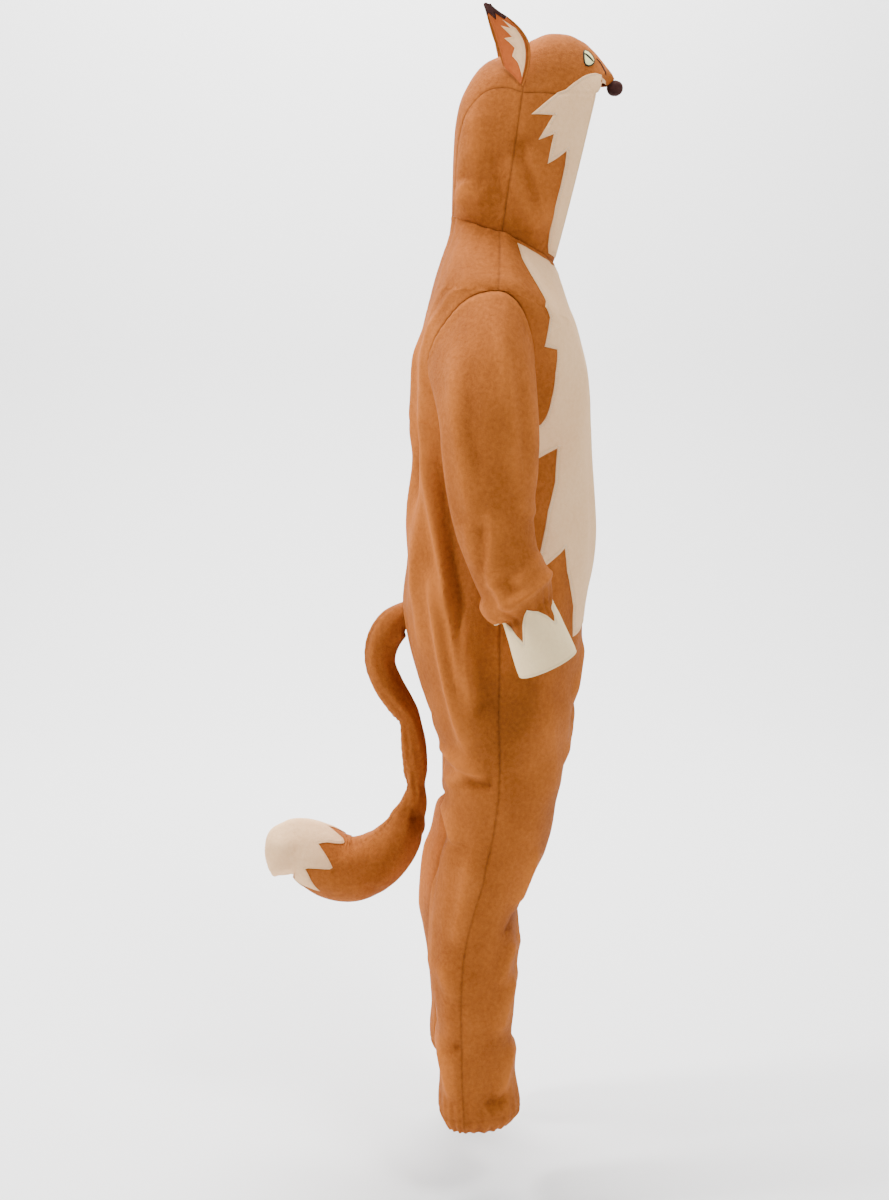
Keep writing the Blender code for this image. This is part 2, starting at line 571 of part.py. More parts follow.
def section_normals(side, row, angle):
    """Outward normals of the smooth body, from small steps round and down it."""
    here, above, below = body_lines(np.array([row, row - ROW_STEP, row + ROW_STEP]), side)
    if row < ROW_STEP:
        above = here
    round_step = section_free(here, angle + ROW_STEP) - section_free(here, angle - ROW_STEP)
    down_step = section_free(below, angle) - section_free(above, angle)
    normal = np.cross(round_step, down_step)
    normal /= np.maximum(np.linalg.norm(normal, axis=-1, keepdims=True), 1e-12)
    middle = np.array([here[6], here[4]])
    out = section_free(here, angle)[:, :2] - middle
    return normal * np.where((normal[:, :2] * out).sum(axis=1) < 0, -1, 1)[:, None]


def section_free(line, angle):
    """A half section that isn't held off the middle plane."""
    points = section(line, angle)
    middle, half, square = line[6:9]
    points[..., 0] = middle + half * power(np.cos(angle), 2 / square)
    return points


# Sleeves

def arm_point(line, turn):
    """A point of an arm section; turn 0 is inside, 0.25 behind, 0.5 outside."""
    x, y, z, half_width, half_depth, tilt = line
    angle, lean = 2 * math.pi * np.asarray(turn), math.radians(tilt)
    behind = half_depth * np.sin(angle)
    return np.stack([x - half_width * np.cos(angle), y + behind * math.cos(lean),
                     z - behind * math.sin(lean)], -1)


def sleeve_grid(side, front, back):
    """Points of a sleeve: its first row on the armhole's edge, then the cap, then the arm."""
    first, last = YOKE_ROWS, YOKE_ROWS + ARMHOLE_ROWS
    edge = np.concatenate([back[first + 1:last + 1, 0][::-1], front[first:last + 1, -1]])
    edge = edge * np.array([side, 1, 1])
    out = np.array([math.cos(math.radians(CAP_OUT)), 0, -math.sin(math.radians(CAP_OUT))])
    edge = edge + out * TUBE_GAP
    turn = np.linspace(0, 1, 2 * ARMHOLE_ROWS + 1)
    foot = arm_point(ARM_TABLE[0], turn)
    reach = np.linalg.norm(foot - edge, axis=1, keepdims=True)
    rows = []
    for t in np.linspace(0, 1, CAP_ROWS + 1)[:-1]:
        rows.append(edge * (2 * t**3 - 3 * t**2 + 1) + foot * (3 * t**2 - 2 * t**3)
                    + reach * out * (t**3 - 2 * t**2 + t)
                    + reach * np.array([0, 0, -1]) * (t**3 - t**2))
    for line in ARM_TABLE:
        rows.append(arm_point(line, turn))
    points = np.array(rows)
    normals = wrapped_normals(points)
    down = np.arange(len(points), dtype=float)[:, None] * np.ones(len(turn))
    across = turn * np.ones(points.shape[:2])
    height = fold_height(SLEEVE_FOLDS, side, across, down, SLEEVE_GIRTH, SLEEVE_STEP)
    height += fold_height(SLEEVE_FOLDS, side, across - 1, down, SLEEVE_GIRTH, SLEEVE_STEP)
    height[:, -1] = height[:, 0] = 0
    points = points + normals * height[..., None]
    flip = np.array([side, 1, 1])
    return points * flip, normals * flip


def wrapped_normals(points):
    """Outward normals of a tube whose last column lies on its first."""
    flat, _, faces = flatten(points, points)
    _, first, index = np.unique(np.round(flat, 7), axis=0, return_index=True, return_inverse=True)
    index = index.ravel()
    normals = normals_of(flat[first], index[faces])[index].reshape(points.shape)
    middle = points[:, :-1].mean(axis=1, keepdims=True)
    if ((points - middle) * normals).sum() < 0:
        normals = -normals
    return normals


def cuff_outline():
    """The cuff's outline in rows and columns of the sleeve's grid."""
    columns = 2 * ARMHOLE_ROWS
    foot = CAP_ROWS + CUFF_FOOT
    zigzag = [(CAP_ROWS + row, turn * columns) for turn, row in CUFF_POINTS]
    outline = zigzag + [(foot, columns), (foot, 0.0)]
    outline = np.array(outline)
    outline[:, 1] = np.clip(outline[:, 1], CUFF_SEAM * columns, columns * (1 - CUFF_SEAM))
    return outline


# Hood

def neck_point(degrees):
    """A point of the neck ring, just clear above the body's edge."""
    ring = section(BODY_ROWS[0], np.radians(degrees))
    return ring + np.array([0, 0, HOOD_GAP])


def bezier(controls, t):
    """A cubic curve through four control points."""
    t = np.asarray(t)[..., None]
    a, b, c, d = controls
    return (1 - t)**3 * a + 3 * (1 - t)**2 * t * b + 3 * (1 - t) * t**2 * c + t**3 * d


def arch_controls(foot, y, z, width, shoulder, kept):
    """Control points of an arch from its foot to the crown."""
    crown = np.array([0.0, y, z])
    low = foot + shoulder * (crown - foot)
    low[0] = width
    return np.array([foot, low, crown + np.array([kept * width, 0, 0]), crown])


def split(controls, t):
    """Cut a cubic curve at t; seven control points, the fourth shared."""
    a, b, c, d = controls
    ab, bc, cd = a + t * (b - a), b + t * (c - b), c + t * (d - c)
    abc, bcd = ab + t * (bc - ab), bc + t * (cd - bc)
    return np.array([a, ab, abc, abc + t * (bcd - abc), bcd, cd, d])


def hood_table():
    """Seven control points for each arch: its side, the seam, and its top."""
    table = []
    for degrees, y, z, width, shoulder, kept, seam in NECK_ARCHES:
        table.append(split(arch_controls(neck_point(degrees), y, z, width, shoulder, kept), seam))
    edge = table[-1][:3]
    for x, foot_y, foot_z, y, z, width, shoulder, kept in SNOUT_ARCHES:
        top = arch_controls(np.array([x, foot_y, foot_z]), y, z, width, shoulder, kept)
        table.append(np.concatenate([edge, top]))
    return np.array(table).reshape(len(table), 21)


def hood_row(table, arch):
    """Points of one mesh row of half a hood: side columns to the seam, then top columns."""
    controls = spline(table, arch).reshape(7, 3)
    low, high = np.linspace(0, 1, HOOD_SIDE_COLUMNS + 1), np.linspace(0, 1, HOOD_TOP_COLUMNS + 1)
    points = np.concatenate([bezier(controls[:4], low), bezier(controls[3:], high)[1:]])
    corner = len(NECK_ARCHES) - 1
    if arch <= corner:
        points[0] = neck_point(spline([row[:1] for row in NECK_ARCHES], arch)[0])
    nape = 1 - smooth(arch)
    if nape > 0:
        first, seam = NECK_ARCHES[0][0], NECK_ARCHES[0][-1]
        share = np.concatenate([low * seam, seam + high[1:] * (1 - seam)])
        ring = neck_point(first + (90 - first) * share)
        ring[-1, 0] = 0
        points = points + nape * (ring - points)
    return points


def hood_grid(arches):
    """Half a hood over a list of arch numbers."""
    table = hood_table()
    return np.array([hood_row(table, arch) for arch in arches])


def fore_arches():
    """Arch numbers of the mesh rows from the ear to the end of the snout."""
    corner = len(NECK_ARCHES) - 1
    snout = np.linspace(corner, corner + len(SNOUT_ARCHES), SNOUT_ROWS + 1)[1:]
    return np.concatenate([np.linspace(EAR_ARCH, corner, FRONT_ROWS + 1), snout])


def hood_normals(grid):
    """Normals of half a hood, level across the crown so that both halves agree."""
    whole = np.concatenate([grid, grid[:, -2::-1] * np.array([-1, 1, 1])], axis=1)
    return grid_normals(whole)[:, :grid.shape[1]]


def fore_normals_of(fore):
    """Normals of the hood's front: the sides end at the face opening, the top runs on."""
    side = HOOD_SIDE_COLUMNS
    normals = hood_normals(fore)
    upper = hood_normals(fore[:, side:])
    whole = hood_normals(fore[:FRONT_ROWS + 1])
    normals[:FRONT_ROWS + 1] = whole
    normals[FRONT_ROWS:, side:] = upper[FRONT_ROWS:]
    return normals


def across_top(grid, normals):
    """The top columns of both halves as one sheet, cut alike on both sides."""
    half = draw_back(grid[:, HOOD_SIDE_COLUMNS:], 0)
    half_normals = normals[:, HOOD_SIDE_COLUMNS:]
    points, directions, faces = [], [], []
    for side in (-1, 1):
        flip = np.array([side, 1, 1])
        flat, out, cells = flatten(half * flip, half_normals * flip)
        faces.append(agree(flat, out, cells) + len(flat) * len(faces))
        points.append(flat)
        directions.append(out)
    return np.concatenate(points), np.concatenate(directions), np.concatenate(faces)


# Building

def build_body(finishes):
    """Fronts, backs, belly patches, sleeves, cuffs and the closure tapes."""
    backs = {}
    for side, hand in ((-1, "right"), (1, "left")):
        front, front_normals = body_panel(side, False)
        back, back_normals = body_panel(side, True)
        backs[side] = back
        sleeve, sleeve_normals = sleeve_grid(side, front, back)
        leg_seam = draw_back(draw_back(front, -1), 0)
        cloth(f"front_{hand}", flatten(leg_seam, front_normals), -WALL, 0, finishes["orange"])
        leg_seam = draw_back(draw_back(back, 0), -1)
        cloth(f"back_{hand}", flatten(leg_seam, back_normals), -WALL, 0, finishes["orange"])
        cloth(f"sleeve_{hand}", flatten(sleeve, sleeve_normals), -WALL, 0, finishes["orange"])
        patch = patch_sheet(sleeve, sleeve_normals, cuff_outline())
        cloth(f"cuff_{hand}", patch, LAY_GAP, LAY_GAP + PATCH, finishes["cuff"])
        patch = patch_sheet(front, front_normals, belly_outline(front))
        cloth(f"belly_{hand}", patch, LAY_GAP, LAY_GAP + PATCH, finishes["cream"])
        patch = patch_sheet(front, front_normals, tape_outline(front))
        behind = -WALL - LAY_GAP
        cloth(f"zip_tape_{hand}", patch, behind - TAPE_WALL, behind, finishes["orange"])
    return backs


def belly_outline(front):
    """The belly patch in rows and columns of the front."""
    edge = locate(front, BELLY_EDGE)
    foot = np.interp(-BELLY_FOOT_Z, -front[:, 0, 2], np.arange(len(front)))
    top = [(BELLY_TOP_ROW, 0.0), (BELLY_TOP_ROW, edge[0, 1])]
    edge[0, 0] = max(edge[0, 0], BELLY_TOP_ROW + 0.1)
    return np.concatenate([top, edge, [(foot, 0.0)]])


def tape_outline(front):
    """Half of the closure tape in rows and columns of the front, along its centre edge."""
    foot = np.interp(-TAPE_FOOT_Z, -front[:, 0, 2], np.arange(len(front)))
    return [(BELLY_TOP_ROW, 0.0), (BELLY_TOP_ROW, TAPE_COLUMNS), (foot, TAPE_COLUMNS), (foot, 0.0)]


def build_hood(finishes):
    """Strip, sides, face, cheek bands and eyes."""
    rear = hood_grid(np.linspace(0, EAR_ARCH, HOOD_ROWS + 1))
    fore = hood_grid(fore_arches())
    rear_normals, fore_normals = hood_normals(rear), fore_normals_of(fore)
    shared = rear_normals[-1] + fore_normals[0]
    shared /= np.linalg.norm(shared, axis=-1, keepdims=True)
    rear_normals[-1] = fore_normals[0] = shared
    rear_cut = draw_back(rear.transpose(1, 0, 2), -1).transpose(1, 0, 2)
    fore_cut = draw_back(fore.transpose(1, 0, 2), 0).transpose(1, 0, 2)
    cloth("hood_strip", across_top(rear_cut, rear_normals), -WALL, 0, finishes["orange"])
    cloth("hood_face", across_top(fore_cut, fore_normals), -WALL, 0, finishes["orange"])
    seam, edge = HOOD_SIDE_COLUMNS + 1, FRONT_ROWS + 1
    for side, hand in ((-1, "right"), (1, "left")):
        flip = np.array([side, 1, 1])
        panel = draw_back(rear_cut[:, :seam], -1) * flip
        cloth(f"hood_back_{hand}", flatten(panel, rear_normals[:, :seam] * flip), -WALL, 0,
              finishes["orange"])
        panel = draw_back(fore_cut[:edge, :seam], -1) * flip
        cloth(f"hood_front_{hand}", flatten(panel, fore_normals[:edge, :seam] * flip),
              -WALL, 0, finishes["orange"])
        grid, normals = fore * flip, fore_normals * flip
        patch = patch_sheet(grid, normals, cheek_outline(fore))
        cloth(f"cheek_{hand}", patch, LAY_GAP, LAY_GAP + PATCH, finishes["cream"])
        patch = patch_sheet(grid, normals, eye_outline(fore))
        cloth(f"eye_{hand}", patch, LAY_GAP, LAY_GAP + PATCH, finishes["eye"])
    return rear, fore


def fore_row(arch):
    """Mesh row of the hood's front for an arch number."""
    return float(np.interp(arch, fore_arches(), np.arange(FRONT_ROWS + SNOUT_ROWS + 1)))


def cheek_outline(fore):
    """The cheek band in rows and columns of the hood's front: its edge, then the opening."""
    edge = locate(fore, CHEEK_EDGE)
    foot = [(fore_row(CHEEK_FROM), CHEEK_RISE), (FRONT_ROWS, CHEEK_RISE)]
    opening = [(FRONT_ROWS, HOOD_SIDE_COLUMNS), (fore_row(CHEEK_TO), HOOD_SIDE_COLUMNS)]
    return np.concatenate([edge, foot, opening])


def eye_outline(fore):
    """An oval in the side view, as rows and columns of the hood's front."""
    turn = np.linspace(0, 2 * math.pi, EYE_CORNERS + 1)[:-1]
    tilt = math.radians(EYE_TILT)
    along, up = EYE_SIZE[0] * np.cos(turn), EYE_SIZE[1] * np.sin(turn)
    view = np.stack([EYE_CENTRE[0] + along * math.cos(tilt) + up * math.sin(tilt),
                     EYE_CENTRE[1] - along * math.sin(tilt) + up * math.cos(tilt)], 1)
    return locate(fore, view)


def build_ears(rear, fore, finishes):
    """Two leaves of cloth on each side of the hood, with a dark tip and a cream flash."""
    hood = np.concatenate([rear, fore[1:]])
    line = np.array(EAR_ROWS)
    rows = np.arange(len(line))
    across = np.linspace(0, 1, EAR_ACROSS + 1)
    rear_edge, front_edge = line[:, None, 0:2], line[:, None, 2:4]
    view = rear_edge + (front_edge - rear_edge) * across[:, None]
    foot = on_facets(hood, locate(hood, view[0]))[:, 0]
    stand = foot + EAR_STAND + EAR_BACK
    bowl = line[:, 4:5] * (1 - (2 * across - 1) ** 2)
    rise = (rows / rows[-1])[:, None]
    x = stand + (stand.mean() + EAR_LEAN - stand) * rise
    x = x + line[0, 4] * (1 - (2 * across - 1) ** 2) - bowl
    points = np.concatenate([x[..., None], view], axis=-1)
    faces = grid_faces(*points.shape[:2])
    normals = normals_of(points.reshape(-1, 3), faces).reshape(points.shape)
    normals *= np.sign(normals[..., 0].sum())
    edge = np.array([(up, share * EAR_ACROSS) for share, up in EAR_TIP_EDGE])
    gap = np.array([EAR_TIP_GAP, 0])
    main = np.concatenate([[(0, 0)], edge - gap, [(0, EAR_ACROSS)]])
    top = len(rows) - 1
    tip = np.concatenate([edge + gap, [(top, EAR_ACROSS), (top, 0)]])
    margins = np.array([EAR_MARGIN, 1 - EAR_MARGIN]) * EAR_ACROSS
    ends = np.stack([np.interp(margins, edge[:, 1], edge[:, 0]), margins], 1)
    front = np.concatenate([[(0, margins[0])], ends[:1] - gap, edge[1:-1] - gap,
                            ends[1:] - gap, [(0, margins[1])]])
    flash = np.array([(up, share * EAR_ACROSS) for share, up in EAR_FLASH])
    for side, hand in ((-1, "right"), (1, "left")):
        flip = np.array([side, 1, 1])
        grid, out = points * flip, normals * flip
        grid[..., 1] -= EAR_FORWARD[side] * rise * (2 - rise)
        cloth(f"ear_back_{hand}", patch_sheet(grid, out, main), -EAR_BACK, 0,
              finishes["orange"])
        cloth(f"ear_front_{hand}", patch_sheet(grid, out, front), LAY_GAP,
              LAY_GAP + EAR_FRONT, finishes["deep_orange"])
        cloth(f"ear_tip_{hand}", patch_sheet(grid, out, tip), -EAR_BACK, LAY_GAP + EAR_FRONT,
              finishes["dark"])
        base = 2 * LAY_GAP + EAR_FRONT
        cloth(f"ear_flash_{hand}", patch_sheet(grid, out, flash), base, base + PATCH,
              finishes["cream"])


def closed_rings(name, rings, finish, start=None):
    """A stuffed form: rings joined in order, each end closed to its middle."""
    count, sides = rings.shape[:2]
    start = rings[0].mean(axis=0) if start is None else start
    points = np.concatenate([rings.reshape(-1, 3), [start], [rings[-1].mean(axis=0)]])
    faces = []
    for ring in range(count - 1):
        for side in range(sides):
            a, b = ring * sides + side, ring * sides + (side + 1) % sides
            faces += [(a, b, b + sides), (a, b + sides, a + sides)]
    for side in range(sides):
        after = (side + 1) % sides
        faces.append((count * sides, after, side))
        end = (count - 1) * sides
        faces.append((count * sides + 1, end + side, end + after))
    faces = np.array(faces)
    corners = points[faces]
    if np.einsum("ij,ij->", corners[:, 0], np.cross(corners[:, 1], corners[:, 2])) < 0:
        faces = faces[:, ::-1]
    return add_mesh(name, points, faces, finish)


def tail_rings(backs):
    """Rings across the tail's path, the first one laid against the body's back."""
    rows = np.linspace(0, len(TAIL_ROWS) - 1, TAIL_RINGS + 1)
    line = spline(TAIL_ROWS, rows)
    step = np.gradient(line[:, :2], axis=0)
    step /= np.linalg.norm(step, axis=1, keepdims=True)
    turn = np.linspace(0, 2 * math.pi, TAIL_SIDES + 1)[:-1]
    over = line[:, 2:3] * np.cos(turn)
    across = line[:, 2:3] * np.sin(turn)
    y = line[:, 0:1] - step[:, 1:2] * over
    z = line[:, 1:2] + step[:, 0:1] * over
    rings = np.stack([across, y, z], -1)
    root = rings[0].mean(axis=0)
    rings = np.concatenate([[(rings[0] + root) / 2], rings])
    for ring in (root[None], rings[0], rings[1]):
        ring[:, 1] = back_depth(backs, ring[:, 0], ring[:, 2]) + TAIL_ROOT_GAP
    rings[2, :, 1] = np.maximum(rings[2, :, 1], rings[1, :, 1] + TAIL_ROOT_STEP)
    return rings, root


def back_depth(backs, x, z):
    """Depth of the body's back behind places across and up."""
    result = []
    for across, height in zip(x, z):
        panel = backs[1] if across >= 0 else backs[-1]
        spot = locate(panel, [(across, height)], axes=(0, 2))
        result.append(on_facets(panel, spot)[0, 1])
    return np.array(result)


def build_tail(backs, finishes):
    """The stuffed tail and the cream tip drawn over its end."""
    rings, root = tail_rings(backs)
    closed_rings("tail", rings, finishes["orange"], root)
    rings = rings[1:]
    end = np.broadcast_to(rings[-1:].mean(axis=1, keepdims=True), rings[-1:].shape)
    grid = np.concatenate([rings, end])
    grid = np.concatenate([grid, grid[:, :1]], axis=1)
    normals = wrapped_normals(grid)
    normals[-1] = wrapped_end(grid)
    step = TAIL_RINGS / (len(TAIL_ROWS) - 1)
    notch, reach = TAIL_TIP_FROM * step, TAIL_TIP_REACH * step
    count = 2 * TAIL_TIP_POINTS
    outline = [(notch - reach * (corner % 2), TAIL_SIDES * corner / count)
               for corner in range(count + 1)]
    outline += [(len(grid) - 1, TAIL_SIDES), (len(grid) - 1, 0)]
    cloth("tail_tip", patch_sheet(grid, normals, outline), LAY_GAP, LAY_GAP + PATCH,
          finishes["cream"])


def wrapped_end(grid):
    """Direction in which a closed end points."""
    direction = grid[-1, 0] - grid[-3].mean(axis=0)
    return direction / np.linalg.norm(direction)


def build_nose(finishes):
    """A small stuffed ball, squarer than round, at the end of the snout."""
    rings = []
    turn = np.linspace(0, 2 * math.pi, NOSE_SIDES + 1)[:-1]
    for latitude in np.radians(np.linspace(-NOSE_END, NOSE_END, NOSE_RINGS)):
        ring = power(np.cos(latitude), NOSE_ROUND)
        rings.append(np.stack([
            NOSE_CENTRE[0] + NOSE_SIZE[0] * ring * power(np.cos(turn), NOSE_ROUND),
            NOSE_CENTRE[1] + NOSE_SIZE[1] * ring * power(np.sin(turn), NOSE_ROUND),
            np.full(len(turn), NOSE_CENTRE[2] + NOSE_SIZE[2] * power(np.sin(latitude), NOSE_ROUND)),
        ], -1))
    closed_rings("nose", np.array(rings), finishes["dark"])


def build():
    """Clear the scene and make every piece."""
    for item in list(bpy.data.objects):
        bpy.data.objects.remove(item)
    finishes = {
        "orange": material("orange_fleece", ORANGE),
        "cream": material("cream_fleece", CREAM),
        "cuff": material("cuff_fleece", CUFF_CREAM),
        "deep_orange": material("ear_front_fleece", DEEP_ORANGE),
        "dark": material("dark_felt", DARK_BROWN),
        "eye": material("eye_felt", EYE_CREAM),
    }
    backs = build_body(finishes)
    rear, fore = build_hood(finishes)
    build_ears(rear, fore, finishes)
    build_nose(finishes)
    build_tail(backs, finishes)


build()
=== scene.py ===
# %% [markdown]
# Fox costume, the looks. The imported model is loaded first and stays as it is. Every cloth
# piece is then made again as a fine thin shell on the same form, with its folds, seams, nap
# and stitching, and stands in for its coarse node.
import math

import bpy
import numpy as np
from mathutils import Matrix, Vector
from mathutils.geometry import delaunay_2d_cdt


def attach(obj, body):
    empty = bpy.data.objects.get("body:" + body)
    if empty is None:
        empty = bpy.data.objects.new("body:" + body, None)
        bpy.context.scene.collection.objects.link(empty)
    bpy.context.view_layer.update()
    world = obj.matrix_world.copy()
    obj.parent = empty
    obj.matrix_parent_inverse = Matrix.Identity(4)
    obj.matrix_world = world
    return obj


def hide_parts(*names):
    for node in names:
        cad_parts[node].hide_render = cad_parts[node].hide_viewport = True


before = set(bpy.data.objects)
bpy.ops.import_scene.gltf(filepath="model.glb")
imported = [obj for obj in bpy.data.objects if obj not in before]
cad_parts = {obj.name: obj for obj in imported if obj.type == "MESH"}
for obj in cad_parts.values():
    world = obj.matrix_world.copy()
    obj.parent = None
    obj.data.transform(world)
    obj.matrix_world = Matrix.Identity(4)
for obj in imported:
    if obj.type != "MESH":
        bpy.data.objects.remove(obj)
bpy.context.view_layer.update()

# %% [markdown]
# The camera comes first, because every fold below was placed in its view, to match the
# photograph. The costume is about 1.77 m tall from hem to ear tip. It is seen from its right
# side, a little from above, with a lens a bit longer than normal.

# %% Camera
CAMERA_AT = (-2.8, 0.0796, -0.0198)
CAMERA_DOWN = 10.69      # degrees below level
LENS = 52.31             # millimetres on a 36 mm film side
camera_data = bpy.data.cameras.new("camera")
camera_data.lens = LENS
camera_data.sensor_width = 36.0
camera = bpy.data.objects.new("camera", camera_data)
camera.location = CAMERA_AT
camera.rotation_euler = (math.radians(90 - CAMERA_DOWN), 0, math.radians(-90))
bpy.context.collection.objects.link(camera)
bpy.context.scene.camera = camera
print("camera", CAMERA_AT, "looking along +X,", CAMERA_DOWN, "degrees down")

# %% [markdown]
# The light is a plain soft studio: a pale surround, a soft lamp high on the camera's side and
# towards the costume's front, a stronger one from behind that rakes across the folds, and a
# wide one for the wall. The floor runs up into the wall through a wide curve, so that no
# horizon shows from the camera.

# %% Lights
def soft_lamp(name, place, target, size, watts):
    """A square lamp at a place, turned towards a target."""
    data = bpy.data.lights.new(name, "AREA")
    data.size, data.energy = size, watts
    lamp = bpy.data.objects.new(name, data)
    lamp.location = place
    lamp.rotation_euler = (Vector(target) - Vector(place)).to_track_quat("-Z", "Y").to_euler()
    bpy.context.collection.objects.link(lamp)


world = bpy.data.worlds.new("surround")
world.use_nodes = True
world.node_tree.nodes["Background"].inputs["Color"].default_value = (1.0, 0.99, 0.98, 1)
world.node_tree.nodes["Background"].inputs["Strength"].default_value = 0.27
bpy.context.scene.world = world
soft_lamp("key", (-1.9, -1.2, 2.0), (0, 0, -0.1), 0.8, 84)
soft_lamp("side", (-0.45, 2.9, 1.2), (0, 0, -0.2), 0.5, 130)
soft_lamp("wall", (1.5, 0.4, 3.2), (3.6, 0, -0.6), 3.0, 620)
print("three soft lamps and a pale surround")

# %% Floor that curves up into a wall
FLOOR_Z = -1.5265
WALL_X = 3.6
CURVE_RADIUS = 1.2
turn = np.linspace(0, math.pi / 2, 24)
profile = np.concatenate([
    [[-7.0, FLOOR_Z]],
    np.stack([WALL_X - CURVE_RADIUS + CURVE_RADIUS * np.sin(turn),
              FLOOR_Z + CURVE_RADIUS * (1 - np.cos(turn))], 1),
    [[WALL_X, 5.0]],
])
across = np.linspace(-7, 7, 3)
floor_points = np.stack(np.broadcast_arrays(
    profile[:, None, 0], across[None], profile[:, None, 1]), -1).reshape(-1, 3)
cell = np.arange(len(profile) - 1)[:, None] * 3 + np.arange(2)
floor_faces = np.stack([cell, cell + 3, cell + 4, cell + 1], -1).reshape(-1, 4)
floor_mesh = bpy.data.meshes.new("floor")
floor_mesh.from_pydata(floor_points.tolist(), [], floor_faces.tolist())
floor_mesh.shade_smooth()
floor = bpy.data.objects.new("floor", floor_mesh)
bpy.context.collection.objects.link(floor)
floor_finish = bpy.data.materials.new("pale_floor")
floor_finish.use_nodes = True
floor_shader = floor_finish.node_tree.nodes["Principled BSDF"]
floor_shader.inputs["Base Color"].default_value = (0.93, 0.93, 0.93, 1)
floor_shader.inputs["Roughness"].default_value = 0.9
floor_mesh.materials.append(floor_finish)
print("floor at", FLOOR_Z)

# %% [markdown]
# Every form below is read from short tables of rows. One helper reads a table between its
# rows on a smooth curve, one gives an S curve, and one keeps the sign of a power, which is
# what makes a section squarer or rounder than an ellipse.

# %% Reading tables
def spline(table, at):
    """A smooth curve through the table's rows: each piece is a cubic whose slope at a row is
    half the step between that row's neighbours."""
    table = np.asarray(table, float)
    at = np.clip(np.asarray(at, float), 0, len(table) - 1)
    start = np.minimum(at.astype(int), len(table) - 2)
    t = (at - start)[..., None]
    before, first = table[np.maximum(start - 1, 0)], table[start]
    last, after = table[start + 1], table[np.minimum(start + 2, len(table) - 1)]
    leave, arrive = (last - before) / 2, (after - first) / 2
    return (first * (2 * t**3 - 3 * t**2 + 1) + last * (3 * t**2 - 2 * t**3)
            + leave * (t**3 - 2 * t**2 + t) + arrive * (t**3 - t**2))


def smooth(value):
    """0 below 0, 1 above 1, and 3 v squared minus 2 v cubed between."""
    value = np.clip(value, 0, 1)
    return value * value * (3 - 2 * value)


def power(value, exponent):
    """The size of the value to a power, with its sign kept."""
    return np.sign(value) * np.abs(value) ** exponent


# %% Sampling a grid between its rows and columns
def sample(grid, spots):
    """Values of a grid at fractional rows and columns: each corner of the cell counts by
    how near the spot is to it."""
    rows, columns = grid.shape[:2]
    base = np.clip(np.floor(spots).astype(int), 0, [rows - 2, columns - 2])
    down, along = (spots - base).T
    if grid.ndim == 3:
        down, along = down[:, None], along[:, None]
    row, column = base.T
    upper = grid[row, column] * (1 - along) + grid[row, column + 1] * along
    lower = grid[row + 1, column] * (1 - along) + grid[row + 1, column + 1] * along
    return upper * (1 - down) + lower * down


def locate(grid, view, axes=(1, 2)):
    """Rows and columns of a grid where its view along an axis passes nearest each point."""
    rows, columns = grid.shape[:2]
    row, column = np.meshgrid(np.linspace(0, rows - 1, 500), np.linspace(0, columns - 1, 400),
                              indexing="ij")
    spots = np.stack([row.ravel(), column.ravel()], 1)
    seen = sample(grid, spots)[:, list(axes)]
    return np.array([spots[((seen - target) ** 2).sum(axis=1).argmin()]
                     for target in np.asarray(view, float)])


print("row 0.5 of a table of 0 and 1 reads", float(spline([[0.0], [1.0]], 0.5)[0]))

# %% [markdown]
# A sheet of cloth is a grid of points with a wall. The outer face is the grid moved out
# along its own normals, the inner face lies behind it, and a narrow rim closes the edge, so
# that the shell is a closed body as real cloth is. Two values are stored on each point:
# how near it is to a seam, and how high it stands on a fold. The fleece reads both to paint
# shade at the seams, and light on the crests and shade in the valleys of the folds.

# %% Normals and lengths of a grid
def grid_normals(points, wrap=False):
    """Unit normals: the cross product of the steps down and across, with the ends of a
    wrapped grid stepping over its seam."""
    down = np.gradient(points, axis=0)
    if wrap:
        along = np.roll(points, -1, axis=1) - np.roll(points, 1, axis=1)
    else:
        along = np.gradient(points, axis=1)
    normals = np.cross(down, along)
    return normals / np.maximum(np.linalg.norm(normals, axis=-1, keepdims=True), 1e-12)


def lengths(points, axis):
    """Distance walked along a grid's rows (axis 0) or columns (axis 1) from its start."""
    step = np.linalg.norm(np.diff(points, axis=axis), axis=-1)
    start = np.zeros_like(np.take(step, [0], axis=axis))
    return np.cumsum(np.concatenate([start, step], axis=axis), axis=axis)


def outward(points, normals):
    """Normals turned so that on the whole they point away from the grid's middle."""
    middle = points.reshape(-1, 3).mean(axis=0)
    return normals if ((points - middle) * normals).sum() > 0 else -normals


# %% Meshes from arrays
PIECES = {}


def put_mesh(name, points, faces, finish, values):
    """Make a mesh object from arrays, faces outwards, with its values for the material."""
    triangles = faces[:, :3]
    corners = points[triangles]
    volume = np.einsum("ij,ij->", corners[:, 0], np.cross(corners[:, 1], corners[:, 2]))
    if faces.shape[1] == 4:
        corners = points[faces[:, [0, 2, 3]]]
        volume += np.einsum("ij,ij->", corners[:, 0], np.cross(corners[:, 1], corners[:, 2]))
    if volume < 0:
        faces = faces[:, ::-1]
    mesh = bpy.data.meshes.new(name)
    mesh.from_pydata(points.tolist(), [], faces.tolist())
    mesh.shade_smooth()
    mesh.set_sharp_from_angle(angle=math.radians(50))
    for label, numbers in values.items():
        layer = mesh.attributes.new(label, "FLOAT", "POINT")
        layer.data.foreach_set("value", np.asarray(numbers, np.float32).ravel())
    mesh.materials.append(finish)
    piece = bpy.data.objects.new(name, mesh)
    bpy.context.collection.objects.link(piece)
    PIECES[name] = piece
    return piece


